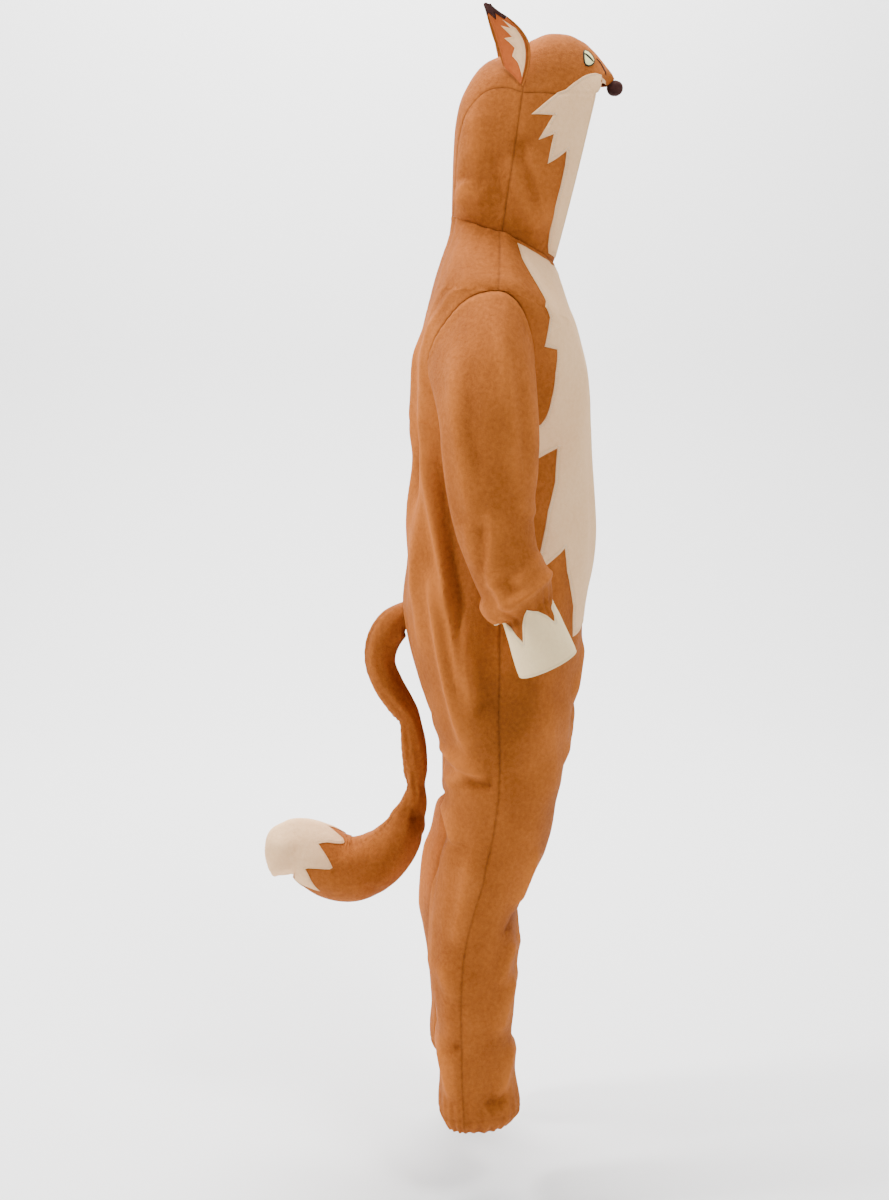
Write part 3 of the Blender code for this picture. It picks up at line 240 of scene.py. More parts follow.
def shell(name, outer, inner, finish, wrap=False, seam=0.0, crest=0.0):
    """A closed wall between two grids of the same shape: outer cells, inner cells turned
    over, and a strip along each free edge. A wrapped grid joins its last column to its
    first."""
    rows, columns = outer.shape[:2]
    index = np.arange(rows * columns).reshape(rows, columns)
    if wrap:
        index = np.concatenate([index, index[:, :1]], axis=1)
    count = rows * columns
    cells = np.stack([index[:-1, :-1], index[:-1, 1:], index[1:, 1:], index[1:, :-1]], -1)
    cells = cells.reshape(-1, 4)
    edges = [(index[0, 1:], index[0, :-1]), (index[-1, :-1], index[-1, 1:])]
    if not wrap:
        edges += [(index[1:, -1], index[:-1, -1]), (index[:-1, 0], index[1:, 0])]
    rims = [np.stack([a, b, b + count, a + count], -1) for a, b in edges]
    faces = np.concatenate([cells, cells[:, ::-1] + count] + rims)
    points = np.concatenate([outer.reshape(-1, 3), inner.reshape(-1, 3)])
    seam = np.broadcast_to(seam, (rows, columns)).ravel()
    crest = np.broadcast_to(crest, (rows, columns)).ravel()
    values = {"seam": np.concatenate([seam, seam]), "crest": np.concatenate([crest, crest * 0])}
    return put_mesh(name, points, faces, finish, values)


# %% [markdown]
# A fold is a path drawn on the side view or the front view, with a width and a height. Each
# point of the cloth rises by how near it is to the path. One flank of a real fold is steeper
# than the other, because the cloth leans over, so the distance is stretched on one side.

# %% Folds
FOLD_FADE = 0.25         # share of a fold over which it comes up and dies away


def fold(view, path, width, height, lean=1.8):
    """Height of one fold at places in a flat view. The profile is e to the minus 1.5th power of
    distance over width, stretched by the lean on the left of the path."""
    path = np.asarray(path, float)
    steps = np.diff(path, axis=0)
    walked = np.concatenate([[0], np.cumsum(np.linalg.norm(steps, axis=1))])
    best = np.full(view.shape[:-1], 9.0)
    along = np.zeros(view.shape[:-1])
    side = np.zeros(view.shape[:-1])
    for start, step, begun in zip(path, steps, walked):
        length = np.linalg.norm(step)
        off = view - start
        at = off @ step / length**2
        near = off - np.clip(at, 0, 1)[..., None] * step
        distance = np.linalg.norm(near, axis=-1)
        closer = distance < best
        best = np.where(closer, distance, best)
        along = np.where(closer, (begun + np.clip(at, 0, 1) * length) / walked[-1], along)
        side = np.where(closer, off[..., 0] * step[1] - off[..., 1] * step[0], side)
    stretched = np.where(side > 0, best / lean, best)
    ends = smooth(along / FOLD_FADE) * smooth((1 - along) / FOLD_FADE)
    return height * np.exp(-(stretched / width) ** 1.5) * ends


def all_folds(view, table, strength=1.0):
    """Sum of the folds in a table of width, height and path, each height times a strength."""
    return sum(fold(view, path, width, height * strength) for width, height, path in table)


def ripples(along, across, seed, size, height):
    """Uneven low waves: six sines of different length and direction, added up."""
    pick = np.random.default_rng(seed)
    total = np.zeros(np.broadcast(along, across).shape)
    for stretch in np.linspace(0.6, 1.9, 6):
        angle, start = pick.uniform(-0.5, 0.5), pick.uniform(0, 2 * math.pi)
        total += np.sin((across * math.cos(angle) * 2.6 + along * math.sin(angle))
                        * 2 * math.pi / (size * stretch) + start)
    return total * height / 3


print("a fold of 5 mm stands", float(fold(np.array([[0, 0.5]]), [(0, 0), (0, 1)], 0.02, 0.005)[0]))

# %% [markdown]
# The finishes. Fleece is knitted cloth brushed until it has a short, dense nap. It has no
# gloss: its colour comes in fine flecks and in soft patches where the nap lies another way.
# On top of that, light and shade are painted into the colour: paler on the crests of folds,
# darker in their valleys, and darker near seams and under the edges of laid pieces. A shared
# node group makes the flecks, the patches and this painted light and shade, and every fleece
# uses it with its own colours.

# %% Node helpers
def link_all(tree, pairs):
    """Join outputs to inputs in a node tree."""
    for source, target in pairs:
        tree.links.new(source, target)


def group_input(tree, name, kind, value):
    """A named input of a group, with its usual value."""
    socket = tree.interface.new_socket(name=name, in_out="INPUT", socket_type=kind)
    socket.default_value = value
    return socket


def math_node(tree, operation, first, second):
    """A sum, product or other step between two values or sockets."""
    node = tree.nodes.new("ShaderNodeMath")
    node.operation = operation
    for slot, value in zip(node.inputs, (first, second)):
        if isinstance(value, (int, float)):
            slot.default_value = value
        else:
            tree.links.new(value, slot)
    return node.outputs[0]


def noise(tree, place, scale, detail=2.0):
    """A cloudy pattern between 0 and 1, its grain about one over scale in metres."""
    node = tree.nodes.new("ShaderNodeTexNoise")
    node.inputs["Scale"].default_value = scale
    node.inputs["Detail"].default_value = detail
    tree.links.new(place, node.inputs["Vector"])
    return node.outputs["Fac"]


def mixed(tree, factor, first, second, kind="MIX"):
    """Two colours mixed by a factor."""
    node = tree.nodes.new("ShaderNodeMix")
    node.data_type, node.blend_type = "RGBA", kind
    for slot, value in zip((node.inputs[0], node.inputs[6], node.inputs[7]),
                           (factor, first, second)):
        if isinstance(value, (int, float, tuple)):
            slot.default_value = value
        else:
            tree.links.new(value, slot)
    return node.outputs[2]


# %% Nap, shared by every fleece and felt
FLECK_SHARE, CLUMP_SHARE, GRAIN_LEVEL = 0.8, 0.75, 0.27
# Strengths of the painted light and shade: fold crests paler, fold valleys darker, seams darker.
FOLD_PAINTED_LIGHT_SHARE, SEAM_PAINTED_SHADE = 0.42, 0.26
nap = bpy.data.node_groups.new("nap", "ShaderNodeTree")
group_input(nap, "Shade", "NodeSocketColor", (0.5, 0.2, 0.06, 1))
group_input(nap, "Light", "NodeSocketColor", (0.6, 0.27, 0.1, 1))
group_input(nap, "Fleck size", "NodeSocketFloat", 700.0)
group_input(nap, "Patchiness", "NodeSocketFloat", 0.5)
group_input(nap, "Height", "NodeSocketFloat", 0.0004)
nap.interface.new_socket(name="Color", in_out="OUTPUT", socket_type="NodeSocketColor")
nap.interface.new_socket(name="Roughness", in_out="OUTPUT", socket_type="NodeSocketFloat")
nap.interface.new_socket(name="Normal", in_out="OUTPUT", socket_type="NodeSocketVector")
given = nap.nodes.new("NodeGroupInput")
result = nap.nodes.new("NodeGroupOutput")
place = nap.nodes.new("ShaderNodeTexCoord").outputs["Object"]
fleck_node = nap.nodes.new("ShaderNodeTexNoise")
fleck_node.inputs["Detail"].default_value = 3.0
fleck_node.inputs["Roughness"].default_value = 0.65
link_all(nap, [(place, fleck_node.inputs["Vector"]),
               (given.outputs["Fleck size"], fleck_node.inputs["Scale"])])
fleck = fleck_node.outputs["Fac"]
clump = noise(nap, place, 170.0, 3.0)
patch = noise(nap, place, 14.0, 3.0)
crest_mark = nap.nodes.new("ShaderNodeAttribute")
crest_mark.attribute_name = "crest"
seam_mark = nap.nodes.new("ShaderNodeAttribute")
seam_mark.attribute_name = "seam"
brushed = math_node(nap, "MULTIPLY", math_node(nap, "SUBTRACT", patch, 0.5),
                    given.outputs["Patchiness"])
grain = math_node(nap, "ADD", math_node(nap, "MULTIPLY", fleck, FLECK_SHARE),
                  math_node(nap, "MULTIPLY", clump, CLUMP_SHARE))
tone = math_node(nap, "ADD", math_node(nap, "SUBTRACT", grain, GRAIN_LEVEL), brushed)
# Painted light and shade: the fold height makes the colour paler on crests and darker in valleys.
painted_fold_light_and_shade = math_node(nap, "MULTIPLY", crest_mark.outputs["Fac"], FOLD_PAINTED_LIGHT_SHARE)
tone = math_node(nap, "ADD", tone, painted_fold_light_and_shade)
cloth_colour = mixed(nap, tone, given.outputs["Shade"], given.outputs["Light"])
# Painted shade: the colour is mixed towards black near seams, in the hem's casing and along the stitched
# edges of laid pieces.
painted_seam_shade = math_node(nap, "MULTIPLY", seam_mark.outputs["Fac"], SEAM_PAINTED_SHADE)
link_all(nap, [(mixed(nap, painted_seam_shade, cloth_colour, (0.0, 0.0, 0.0, 1)), result.inputs["Color"])])
bump = nap.nodes.new("ShaderNodeBump")
bump.inputs["Strength"].default_value = 0.85
link_all(nap, [(math_node(nap, "ADD", fleck, math_node(nap, "MULTIPLY", clump, 1.6)),
                bump.inputs["Height"]),
               (given.outputs["Height"], bump.inputs["Distance"]),
               (bump.outputs["Normal"], result.inputs["Normal"]),
               (math_node(nap, "ADD", 0.78, math_node(nap, "MULTIPLY", fleck, 0.2)),
                result.inputs["Roughness"])])
print("nap group with", len(nap.nodes), "nodes")


# %% Fleece and felt
def fleece(name, shade, light, fleck_size=700.0, patchiness=0.6, height=0.0007, sheen=0.06):
    """A cloth finish: the nap group feeds the shader, and sheen gives the soft edge light."""
    finish = bpy.data.materials.new(name)
    finish.use_nodes = True
    tree = finish.node_tree
    shader = tree.nodes["Principled BSDF"]
    shader.inputs["Sheen Weight"].default_value = sheen
    shader.inputs["Sheen Roughness"].default_value = 0.6
    shader.inputs["Sheen Tint"].default_value = (*light, 1)
    shader.inputs["Specular IOR Level"].default_value = 0.12
    node = tree.nodes.new("ShaderNodeGroup")
    node.node_tree = nap
    node.inputs["Shade"].default_value = (*shade, 1)
    node.inputs["Light"].default_value = (*light, 1)
    node.inputs["Fleck size"].default_value = fleck_size
    node.inputs["Patchiness"].default_value = patchiness
    node.inputs["Height"].default_value = height
    link_all(tree, [(node.outputs["Color"], shader.inputs["Base Color"]),
                    (node.outputs["Roughness"], shader.inputs["Roughness"]),
                    (node.outputs["Normal"], shader.inputs["Normal"])])
    finish.diffuse_color = (*light, 1)
    return finish


ORANGE = fleece("fleece_of_the_body", (0.175, 0.042, 0.004), (0.46, 0.136, 0.023))
CREAM = fleece("fleece_of_belly_and_cheeks", (0.76, 0.44, 0.22), (0.90, 0.60, 0.34))
CUFF = fleece("fleece_of_the_cuffs", (0.86, 0.63, 0.33), (0.96, 0.76, 0.44))
DEEP = fleece("fleece_in_the_ears", (0.36, 0.070, 0.012), (0.48, 0.115, 0.025))
DARK = fleece("felt_of_nose_and_ear_tips", (0.030, 0.010, 0.009), (0.062, 0.024, 0.020), patchiness=0.3)
print("fleeces:", [item.name for item in (ORANGE, CREAM, CUFF, DEEP, DARK)])

# %% [markdown]
# The body. On the real costume each half is a front and a back, cut from shoulder to ankle
# with the leg in one. Here a half is a stack of rounded sections: the table names the height
# and depth of each section's front, side and back, and how wide and how square it is.

# %% Body tables
# z front, z side, z back, y front, y side, y back, middle x, half width, squareness
BODY_ROWS = [
    (-0.006, 0.040, 0.066, -0.092, -0.005, 0.068, 0.000, 0.078, 2.0),
    (-0.040, 0.014, 0.034, -0.103, -0.004, 0.072, 0.000, 0.122, 2.2),
    (-0.075, -0.018, -0.005, -0.114, -0.002, 0.085, 0.000, 0.163, 2.4),
    (-0.108, -0.048, -0.045, -0.127, 0.000, 0.097, 0.000, 0.189, 2.5),
    (-0.165, -0.115, -0.115, -0.142, 0.006, 0.113, 0.000, 0.187, 2.5),
    (-0.215, -0.185, -0.185, -0.149, 0.010, 0.120, 0.000, 0.178, 2.5),
    (-0.265, -0.250, -0.250, -0.152, 0.009, 0.123, 0.000, 0.171, 2.4),
    (-0.310, -0.305, -0.305, -0.155, 0.005, 0.125, 0.000, 0.170, 2.4),
    (-0.384, -0.384, -0.384, -0.161, 0.001, 0.129, 0.000, 0.173, 2.3),
    (-0.435, -0.435, -0.435, -0.163, -0.002, 0.134, 0.000, 0.179, 2.3),
    (-0.485, -0.485, -0.485, -0.159, -0.004, 0.140, 0.000, 0.187, 2.3),
    (-0.549, -0.549, -0.549, -0.147, -0.005, 0.147, 0.000, 0.197, 2.3),
    (-0.615, -0.615, -0.615, -0.142, -0.005, 0.137, 0.004, 0.198, 2.3),
    (-0.672, -0.672, -0.672, -0.136, -0.004, 0.121, 0.024, 0.177, 2.3),
    (-0.723, -0.723, -0.723, -0.125, -0.005, 0.103, 0.056, 0.145, 2.3),
    (-0.758, -0.758, -0.758, -0.115, -0.006, 0.086, 0.080, 0.119, 2.2),
    (-0.785, -0.785, -0.785, -0.109, -0.006, 0.076, 0.096, 0.1035, 2.2),
    (-0.805, -0.805, -0.805, -0.106, -0.005, 0.075, 0.103, 0.0985, 2.2),
    (-0.836, -0.836, -0.836, -0.102, -0.003, 0.079, 0.106, 0.0945, 2.2),
    (-0.896, -0.896, -0.896, -0.094, 0.005, 0.077, 0.108, 0.0880, 2.2),
    (-0.935, -0.935, -0.935, -0.082, 0.014, 0.086, 0.110, 0.0840, 2.2),
    (-0.970, -0.970, -0.970, -0.063, 0.020, 0.090, 0.112, 0.0810, 2.2),
    (-1.017, -1.017, -1.017, -0.044, 0.034, 0.096, 0.116, 0.0770, 2.2),
    (-1.072, -1.072, -1.072, -0.037, 0.046, 0.099, 0.119, 0.0735, 2.2),
    (-1.130, -1.130, -1.130, -0.033, 0.052, 0.100, 0.122, 0.0710, 2.2),
    (-1.190, -1.190, -1.190, -0.033, 0.053, 0.095, 0.126, 0.0690, 2.2),
    (-1.250, -1.250, -1.250, -0.030, 0.052, 0.089, 0.130, 0.0665, 2.2),
    (-1.300, -1.300, -1.300, -0.033, 0.051, 0.086, 0.133, 0.0645, 2.2),
    (-1.345, -1.345, -1.345, -0.042, 0.049, 0.089, 0.137, 0.0640, 2.2),
    (-1.372, -1.372, -1.372, -0.043, 0.048, 0.087, 0.139, 0.0600, 2.2),
    (-1.390, -1.390, -1.390, -0.027, 0.046, 0.077, 0.140, 0.0500, 2.2),
]
SHOULDER_ROW, UNDERARM_ROW = 3, 6
HOLE_FRONT, HOLE_BACK = 0.060, 0.085
SLOPE = 1.2
LEG_STEP, LEG_FROM, LEG_FULL = 0.017, -0.70, -1.10
SEAM_GAP = 0.00018
WALL = 0.0022
YOKE, HOLE, LOWER, ACROSS = 26, 48, 184, 68
EDGE_SHARES = (0.0, 0.004, 0.009, 0.016)    # columns closer to the seams
print("body from", BODY_ROWS[0][2], "to", BODY_ROWS[-1][1])


# %% One body section
def section(line, angle):
    """Half a rounded section: width times a power of the cosine across, depth times a power
    of the sine front to back, and a height that runs from the side to the centre."""
    z_front, z_side, z_back, y_front, y_side, y_back, middle, half, square = line.T[..., None]
    sine, cosine = np.sin(angle), np.cos(angle)
    depth = np.where(sine < 0, y_side - y_front, y_back - y_side)
    rise = np.where(sine < 0, z_front - z_side, z_back - z_side)
    return np.stack([middle + half * power(cosine, 2 / square),
                     y_side + depth * power(sine, 2 / square),
                     z_side + rise * np.abs(sine) ** SLOPE], -1)


def body_lines(rows, side):
    """The table at fractional rows; below the hips the left leg is set back."""
    line = spline(BODY_ROWS, rows)
    if side > 0:
        share = smooth((LEG_FROM - line[:, 1]) / (LEG_FROM - LEG_FULL))
        line[:, 3:6] += LEG_STEP * share[:, None]
    return line


def hole_angle(line, rows, depth, reach):
    """Angle of the armhole's edge: an ellipse from the shoulder row to the underarm row."""
    share = (rows - SHOULDER_ROW) / (UNDERARM_ROW - SHOULDER_ROW)
    hole = reach * np.sqrt(np.clip(1 - (2 * share - 1) ** 2, 0, 1))
    return np.arcsin(np.clip(hole / depth, 0, 1) ** (line[:, 8] / 2))


# %% A whole front or back as a grid
def body_rows():
    """Table rows of the grid: even down the yoke, closer at both ends of the armhole."""
    turn = np.linspace(0, math.pi, HOLE + 1)
    hole = SHOULDER_ROW + (UNDERARM_ROW - SHOULDER_ROW) * (1 - np.cos(turn)) / 2
    yoke = np.linspace(0, SHOULDER_ROW, YOKE + 1)[:-1]
    lower = np.linspace(UNDERARM_ROW, len(BODY_ROWS) - 1, LOWER + 1)[1:]
    return np.concatenate([yoke, hole, lower])


def body_base(side, is_back):
    """The smooth panel, right or left, with even spacing across, its outward normals, and
    how far round each column is from the centre front (0) to the centre back (1)."""
    rows = body_rows()
    line = body_lines(rows, side)
    middle, half, square = line[:, 6:9].T
    reach = math.pi - np.arccos(np.clip(middle / half, 0, 1) ** (square / 2))
    if is_back:
        first, last = hole_angle(line, rows, line[:, 5] - line[:, 4], HOLE_BACK), reach
    else:
        first, last = -reach, -hole_angle(line, rows, line[:, 4] - line[:, 3], HOLE_FRONT)
    dense = first[:, None] + (last - first)[:, None] * np.linspace(0, 1, 400)
    walked = lengths(section(line, dense), 1)
    share = np.concatenate([EDGE_SHARES, np.linspace(0.028, 0.972, ACROSS + 1 - 8),
                            1 - np.array(EDGE_SHARES)[::-1]])
    angle = np.array([np.interp(share * run[-1], run, turn) for run, turn in zip(walked, dense)])
    points = section(line, angle)
    normals = grid_normals(points)
    away = points[..., :2] - np.stack([middle, line[:, 4]], -1)[:, None]
    normals *= np.where((normals[..., :2] * away).sum(axis=(0, 1)).sum() < 0, -1, 1)
    around = np.broadcast_to(share * 0.5 + (0.5 if is_back else 0.0), points.shape[:2])
    return points, normals, around


BASE = {(side, is_back): body_base(side, is_back) for side in (-1, 1) for is_back in (False, True)}
print("body grid", BASE[-1, False][0].shape, "points a panel")

# %% [markdown]
# Folds of the body. Fleece is heavy and soft, so it hangs in long round drapes: down the back
# from the shoulder and the underarm, across the seat towards the knee where the hip pushes it
# forwards, and in short creases behind the knee and above the gathered hem. They were placed
# on the side view. The hidden side gets its own, of the same kind but not a mirror image.

# %% Fold tables of the body
# Side view: width, height, then the path as y and z
RIGHT_FOLDS = [
    (0.009, 0.0080, [(0.091, -0.062), (0.100, -0.136), (0.104, -0.209), (0.101, -0.284)]),
    (0.009, 0.0060, [(0.110, -0.106), (0.116, -0.209), (0.122, -0.314)]),
    (0.010, 0.0130, [(0.106, -0.195), (0.103, -0.284), (0.094, -0.360), (0.085, -0.421),
        (0.074, -0.482), (0.067, -0.545), (0.057, -0.607), (0.051, -0.670), (0.045, -0.699)]),
    (0.009, -0.0080, [(0.091, -0.254), (0.080, -0.360), (0.071, -0.421), (0.060, -0.498),
        (0.053, -0.576), (0.046, -0.639)]),
    (0.009, 0.0110, [(0.102, -0.452), (0.096, -0.498), (0.089, -0.545), (0.080, -0.607),
        (0.070, -0.655), (0.056, -0.706), (0.045, -0.747), (0.031, -0.771)]),
    (0.008, -0.0060, [(0.077, -0.513), (0.071, -0.576), (0.062, -0.639), (0.051, -0.690)]),
    (0.008, 0.0060, [(0.124, -0.314), (0.121, -0.452), (0.119, -0.545), (0.114, -0.639)]),
    (0.007, 0.0050, [(0.053, -0.513), (0.047, -0.575), (0.039, -0.653), (0.034, -0.704)]),
    (0.009, -0.0035, [(0.030, -0.575), (0.024, -0.638), (0.026, -0.701)]),
    (0.008, 0.0080, [(0.087, -0.760), (0.063, -0.773), (0.040, -0.782), (0.009, -0.794)]),
    (0.007, -0.0050, [(0.055, -0.797), (0.030, -0.805), (0.002, -0.807)]),
    (0.007, 0.0050, [(0.077, -0.828), (0.068, -0.807), (0.052, -0.794), (0.041, -0.807)]),
    (0.007, 0.0060, [(0.082, -0.852), (0.072, -0.885), (0.058, -0.914)]),
    (0.008, 0.0070, [(-0.067, -0.908), (-0.051, -0.957), (-0.038, -0.994), (-0.026, -1.020)]),
    (0.008, -0.0050, [(-0.040, -1.024), (-0.026, -1.047), (-0.017, -1.064)]),
    (0.007, 0.0060, [(-0.034, -1.072), (-0.018, -1.107), (-0.012, -1.128), (-0.020, -1.151)]),
    (0.008, 0.0070, [(-0.033, -1.128), (-0.017, -1.174), (-0.005, -1.230)]),
    (0.008, 0.0040, [(0.096, -1.106), (0.076, -1.138), (0.055, -1.172)]),
    (0.008, 0.0070, [(0.093, -1.222), (0.080, -1.270), (0.072, -1.305), (0.067, -1.340)]),
    (0.008, 0.0070, [(-0.032, -1.246), (-0.018, -1.291), (-0.005, -1.336)]),
    (0.006, -0.0050, [(0.085, -1.260), (0.068, -1.246), (0.050, -1.236)]),
    (0.010, -0.0050, [(0.016, -1.343), (-0.007, -1.334), (-0.023, -1.341)]),
    (0.020, 0.0040, [(-0.075, -0.669), (-0.093, -0.765), (-0.088, -0.862)]),
    (0.012, 0.0050, [(0.040, -0.914), (0.052, -0.997), (0.068, -1.081)]),
]
LEFT_FOLDS = [
    (0.013, 0.0095, [(0.058, -0.125), (0.080, -0.220), (0.082, -0.330), (0.092, -0.460)]),
    (0.011, 0.0100, [(0.034, -0.230), (0.056, -0.330), (0.070, -0.450), (0.060, -0.560)]),
    (0.010, -0.0060, [(0.050, -0.200), (0.072, -0.320), (0.084, -0.480), (0.090, -0.570)]),
    (0.012, 0.0110, [(0.088, -0.430), (0.078, -0.530), (0.060, -0.620), (0.040, -0.700), (0.010, -0.740)]),
    (0.009, -0.0070, [(0.104, -0.480), (0.094, -0.590), (0.074, -0.680), (0.040, -0.750)]),
    (0.012, 0.0065, [(0.124, -0.500), (0.110, -0.600), (0.090, -0.680)]),
    (0.009, -0.0075, [(0.084, -0.775), (0.060, -0.795), (0.024, -0.800)]),
    (0.010, 0.0065, [(0.080, -0.740), (0.052, -0.765), (0.014, -0.780)]),
    (0.009, -0.0070, [(0.096, -0.900), (0.078, -0.925), (0.050, -0.940)]),
    (0.012, 0.0055, [(-0.090, -0.850), (-0.064, -0.910), (-0.024, -0.950)]),
    (0.012, 0.0065, [(0.006, -0.980), (0.000, -1.070), (0.012, -1.150)]),
    (0.012, 0.0060, [(0.098, -1.060), (0.082, -1.140), (0.078, -1.230)]),
    (0.010, 0.0060, [(0.085, -1.240), (0.070, -1.290), (0.064, -1.335)]),
    (0.009, -0.0050, [(0.030, -1.240), (0.018, -1.290), (0.020, -1.340)]),
    (0.016, 0.0050, [(-0.112, -0.570), (-0.102, -0.650), (-0.096, -0.730)]),
    (0.012, 0.0060, [(0.008, -0.062), (0.030, -0.095), (0.052, -0.150)]),
]
# Front view, x from the middle outwards and z: on the fronts and on the backs
FRONT_FOLDS = [
    (0.014, 0.0050, [(0.030, -0.600), (0.070, -0.640), (0.120, -0.690)]),
    (0.012, -0.0050, [(0.020, -0.630), (0.060, -0.680), (0.110, -0.740)]),
    (0.012, 0.0045, [(0.040, -0.700), (0.080, -0.740), (0.130, -0.790)]),
    (0.018, 0.0045, [(0.100, -0.120), (0.120, -0.240), (0.128, -0.360)]),
    (0.016, -0.0040, [(0.060, -0.260), (0.075, -0.400), (0.085, -0.520)]),
    (0.013, 0.0050, [(0.080, -1.000), (0.110, -1.080), (0.125, -1.170)]),
]
BACK_FOLDS = [
    (0.016, 0.0070, [(0.040, -0.060), (0.060, -0.200), (0.056, -0.360), (0.070, -0.520)]),
    (0.014, -0.0050, [(0.070, -0.080), (0.090, -0.240), (0.086, -0.420)]),
    (0.016, 0.0060, [(0.110, -0.280), (0.108, -0.420), (0.120, -0.560)]),
    (0.014, -0.0035, [(0.040, -0.700), (0.080, -0.715), (0.130, -0.740)]),
    (0.014, 0.0035, [(0.030, -0.730), (0.080, -0.750), (0.130, -0.775)]),
    (0.012, -0.0060, [(0.070, -0.905), (0.110, -0.920), (0.150, -0.915)]),
    (0.014, 0.0060, [(0.100, -0.960), (0.120, -1.060), (0.130, -1.160)]),
    (0.013, 0.0050, [(0.150, -1.000), (0.145, -1.100), (0.140, -1.200)]),
]
BODY_STRENGTH = 1.4
HEM_PINCHES = 13         # across one front or back
HEM_DEPTH = 0.0015
HEM_RISE = 0.050
print(len(RIGHT_FOLDS), "folds on the right,", len(LEFT_FOLDS), "on the left")


# %% Height of the cloth over the smooth body
SEAM_WIDTH, SEAM_DEPTH = 0.0020, 0.0007


def seam_of(distance):
    """How near a point is to a seam: e to the minus square of distance over seam width."""
    return np.exp(-(distance / SEAM_WIDTH) ** 2)


def body_height(side, is_back, points, around):
    """Folds of the side view, weaker towards the middle planes, those of the front or back
    view, low ripples, the gathers at the hem, and the valley along each seam."""
    table = RIGHT_FOLDS if side < 0 else LEFT_FOLDS
    sideways = smooth(np.minimum(around, 1 - around) / 0.16)
    height = all_folds(points[..., 1:], table, BODY_STRENGTH) * sideways
    level = np.stack([np.abs(points[..., 0]), points[..., 2]], -1)
    facing = smooth((0.36 - np.minimum(around, 1 - around)) / 0.16)
    height = height + all_folds(level, BACK_FOLDS if is_back else FRONT_FOLDS, BODY_STRENGTH) * facing
    calm = smooth(np.minimum(around, 1 - around) / 0.05)
    height = height * calm
    height = height + ripples(points[..., 2], around * 0.58, 3 if side < 0 else 8, 0.21, 0.0012) * calm
    from_hem = points[..., 2] - points[-1:, :, 2]
    pinch = np.cos(2 * math.pi * HEM_PINCHES * around * 2 + 0.6 * np.sin(around * 37))
    height = height + HEM_DEPTH * pinch * np.exp(-from_hem / HEM_RISE) * calm
    casing = np.exp(-((from_hem - 0.024) / 0.0025) ** 2)
    height = height - 0.0010 * casing
    across = lengths(points, 1)
    edge = np.minimum(across, across[:, -1:] - across)
    down = lengths(points, 0)
    edge = np.minimum(edge, down)
    pucker = 0.0006 * np.sin(down * 2 * math.pi / 0.017) * np.exp(-(edge / 0.010) ** 2)
    seam = seam_of(edge)
    # The second value tells the fleece where to paint shade: along the seams, and half as strong in the
    # casing groove.
    return height + pucker - SEAM_DEPTH * seam, np.maximum(seam, casing * 0.5)


def crest_of(height):
    """Fold height as a value near 0 for the material, 1 on a crest of 8 mm; the fleece paints crests paler
    and valleys darker by it.
    """
    return np.clip(height / 0.008, -1, 1)


# %% Fronts and backs
BODY = {}
for (side, is_back), (points, normals, around) in BASE.items():
    height, seam = body_height(side, is_back, points, around)
    flip = np.array([side, 1, 1])
    outer = points + normals * height[..., None]
    gap = np.full(outer.shape[:2], SEAM_GAP)
    outer[..., 0] = np.maximum(outer[..., 0], gap)
    inner = outer - normals * WALL
    inner[..., 0] = np.maximum(inner[..., 0], gap)
    BODY[side, is_back] = (outer * flip, normals * flip)
    name = f"{'back' if is_back else 'front'}_{'right' if side < 0 else 'left'}"
    shell(name + "_cloth", outer * flip, inner * flip, ORANGE, seam=seam, crest=crest_of(height))
print("fronts and backs:", sorted(PIECES))

# %% [markdown]
# A sleeve is a tube. Its first ring is the armhole's own edge, so it can't come away from the
# body. A cap curves over the shoulder, and the arm below it is a row of tilted ovals. At the
# wrist the fleece is gathered into the cuff: it bags over in a roll and pinches below it.

# %% Sleeve tables
# x, y, z, half width, half depth, tilt forwards in degrees
ARM_TABLE = [
    (0.243, 0.014, -0.270, 0.056, 0.0700, 0.0),
    (0.247, 0.014, -0.312, 0.054, 0.0660, 0.0),
    (0.250, 0.012, -0.352, 0.053, 0.0620, 2.0),
    (0.254, 0.006, -0.396, 0.052, 0.0575, 6.0),
    (0.258, -0.005, -0.436, 0.051, 0.0530, 11.0),
    (0.262, -0.018, -0.468, 0.051, 0.0520, 16.0),
    (0.264, -0.030, -0.492, 0.050, 0.0500, 19.0),
    (0.265, -0.0385, -0.508, 0.044, 0.0440, 20.0),
    (0.266, -0.0435, -0.518, 0.039, 0.0385, 21.0),
    (0.267, -0.053, -0.540, 0.040, 0.0405, 22.0),
    (0.268, -0.0635, -0.567, 0.042, 0.0435, 24.0),
    (0.270, -0.0745, -0.5955, 0.044, 0.0455, 25.0),
]
CAP_OUT = 38.0           # degrees below level at which the sleeve leaves the shoulder
CAP, PER_ROW = 40, 12
TUBE_GAP = 0.0005
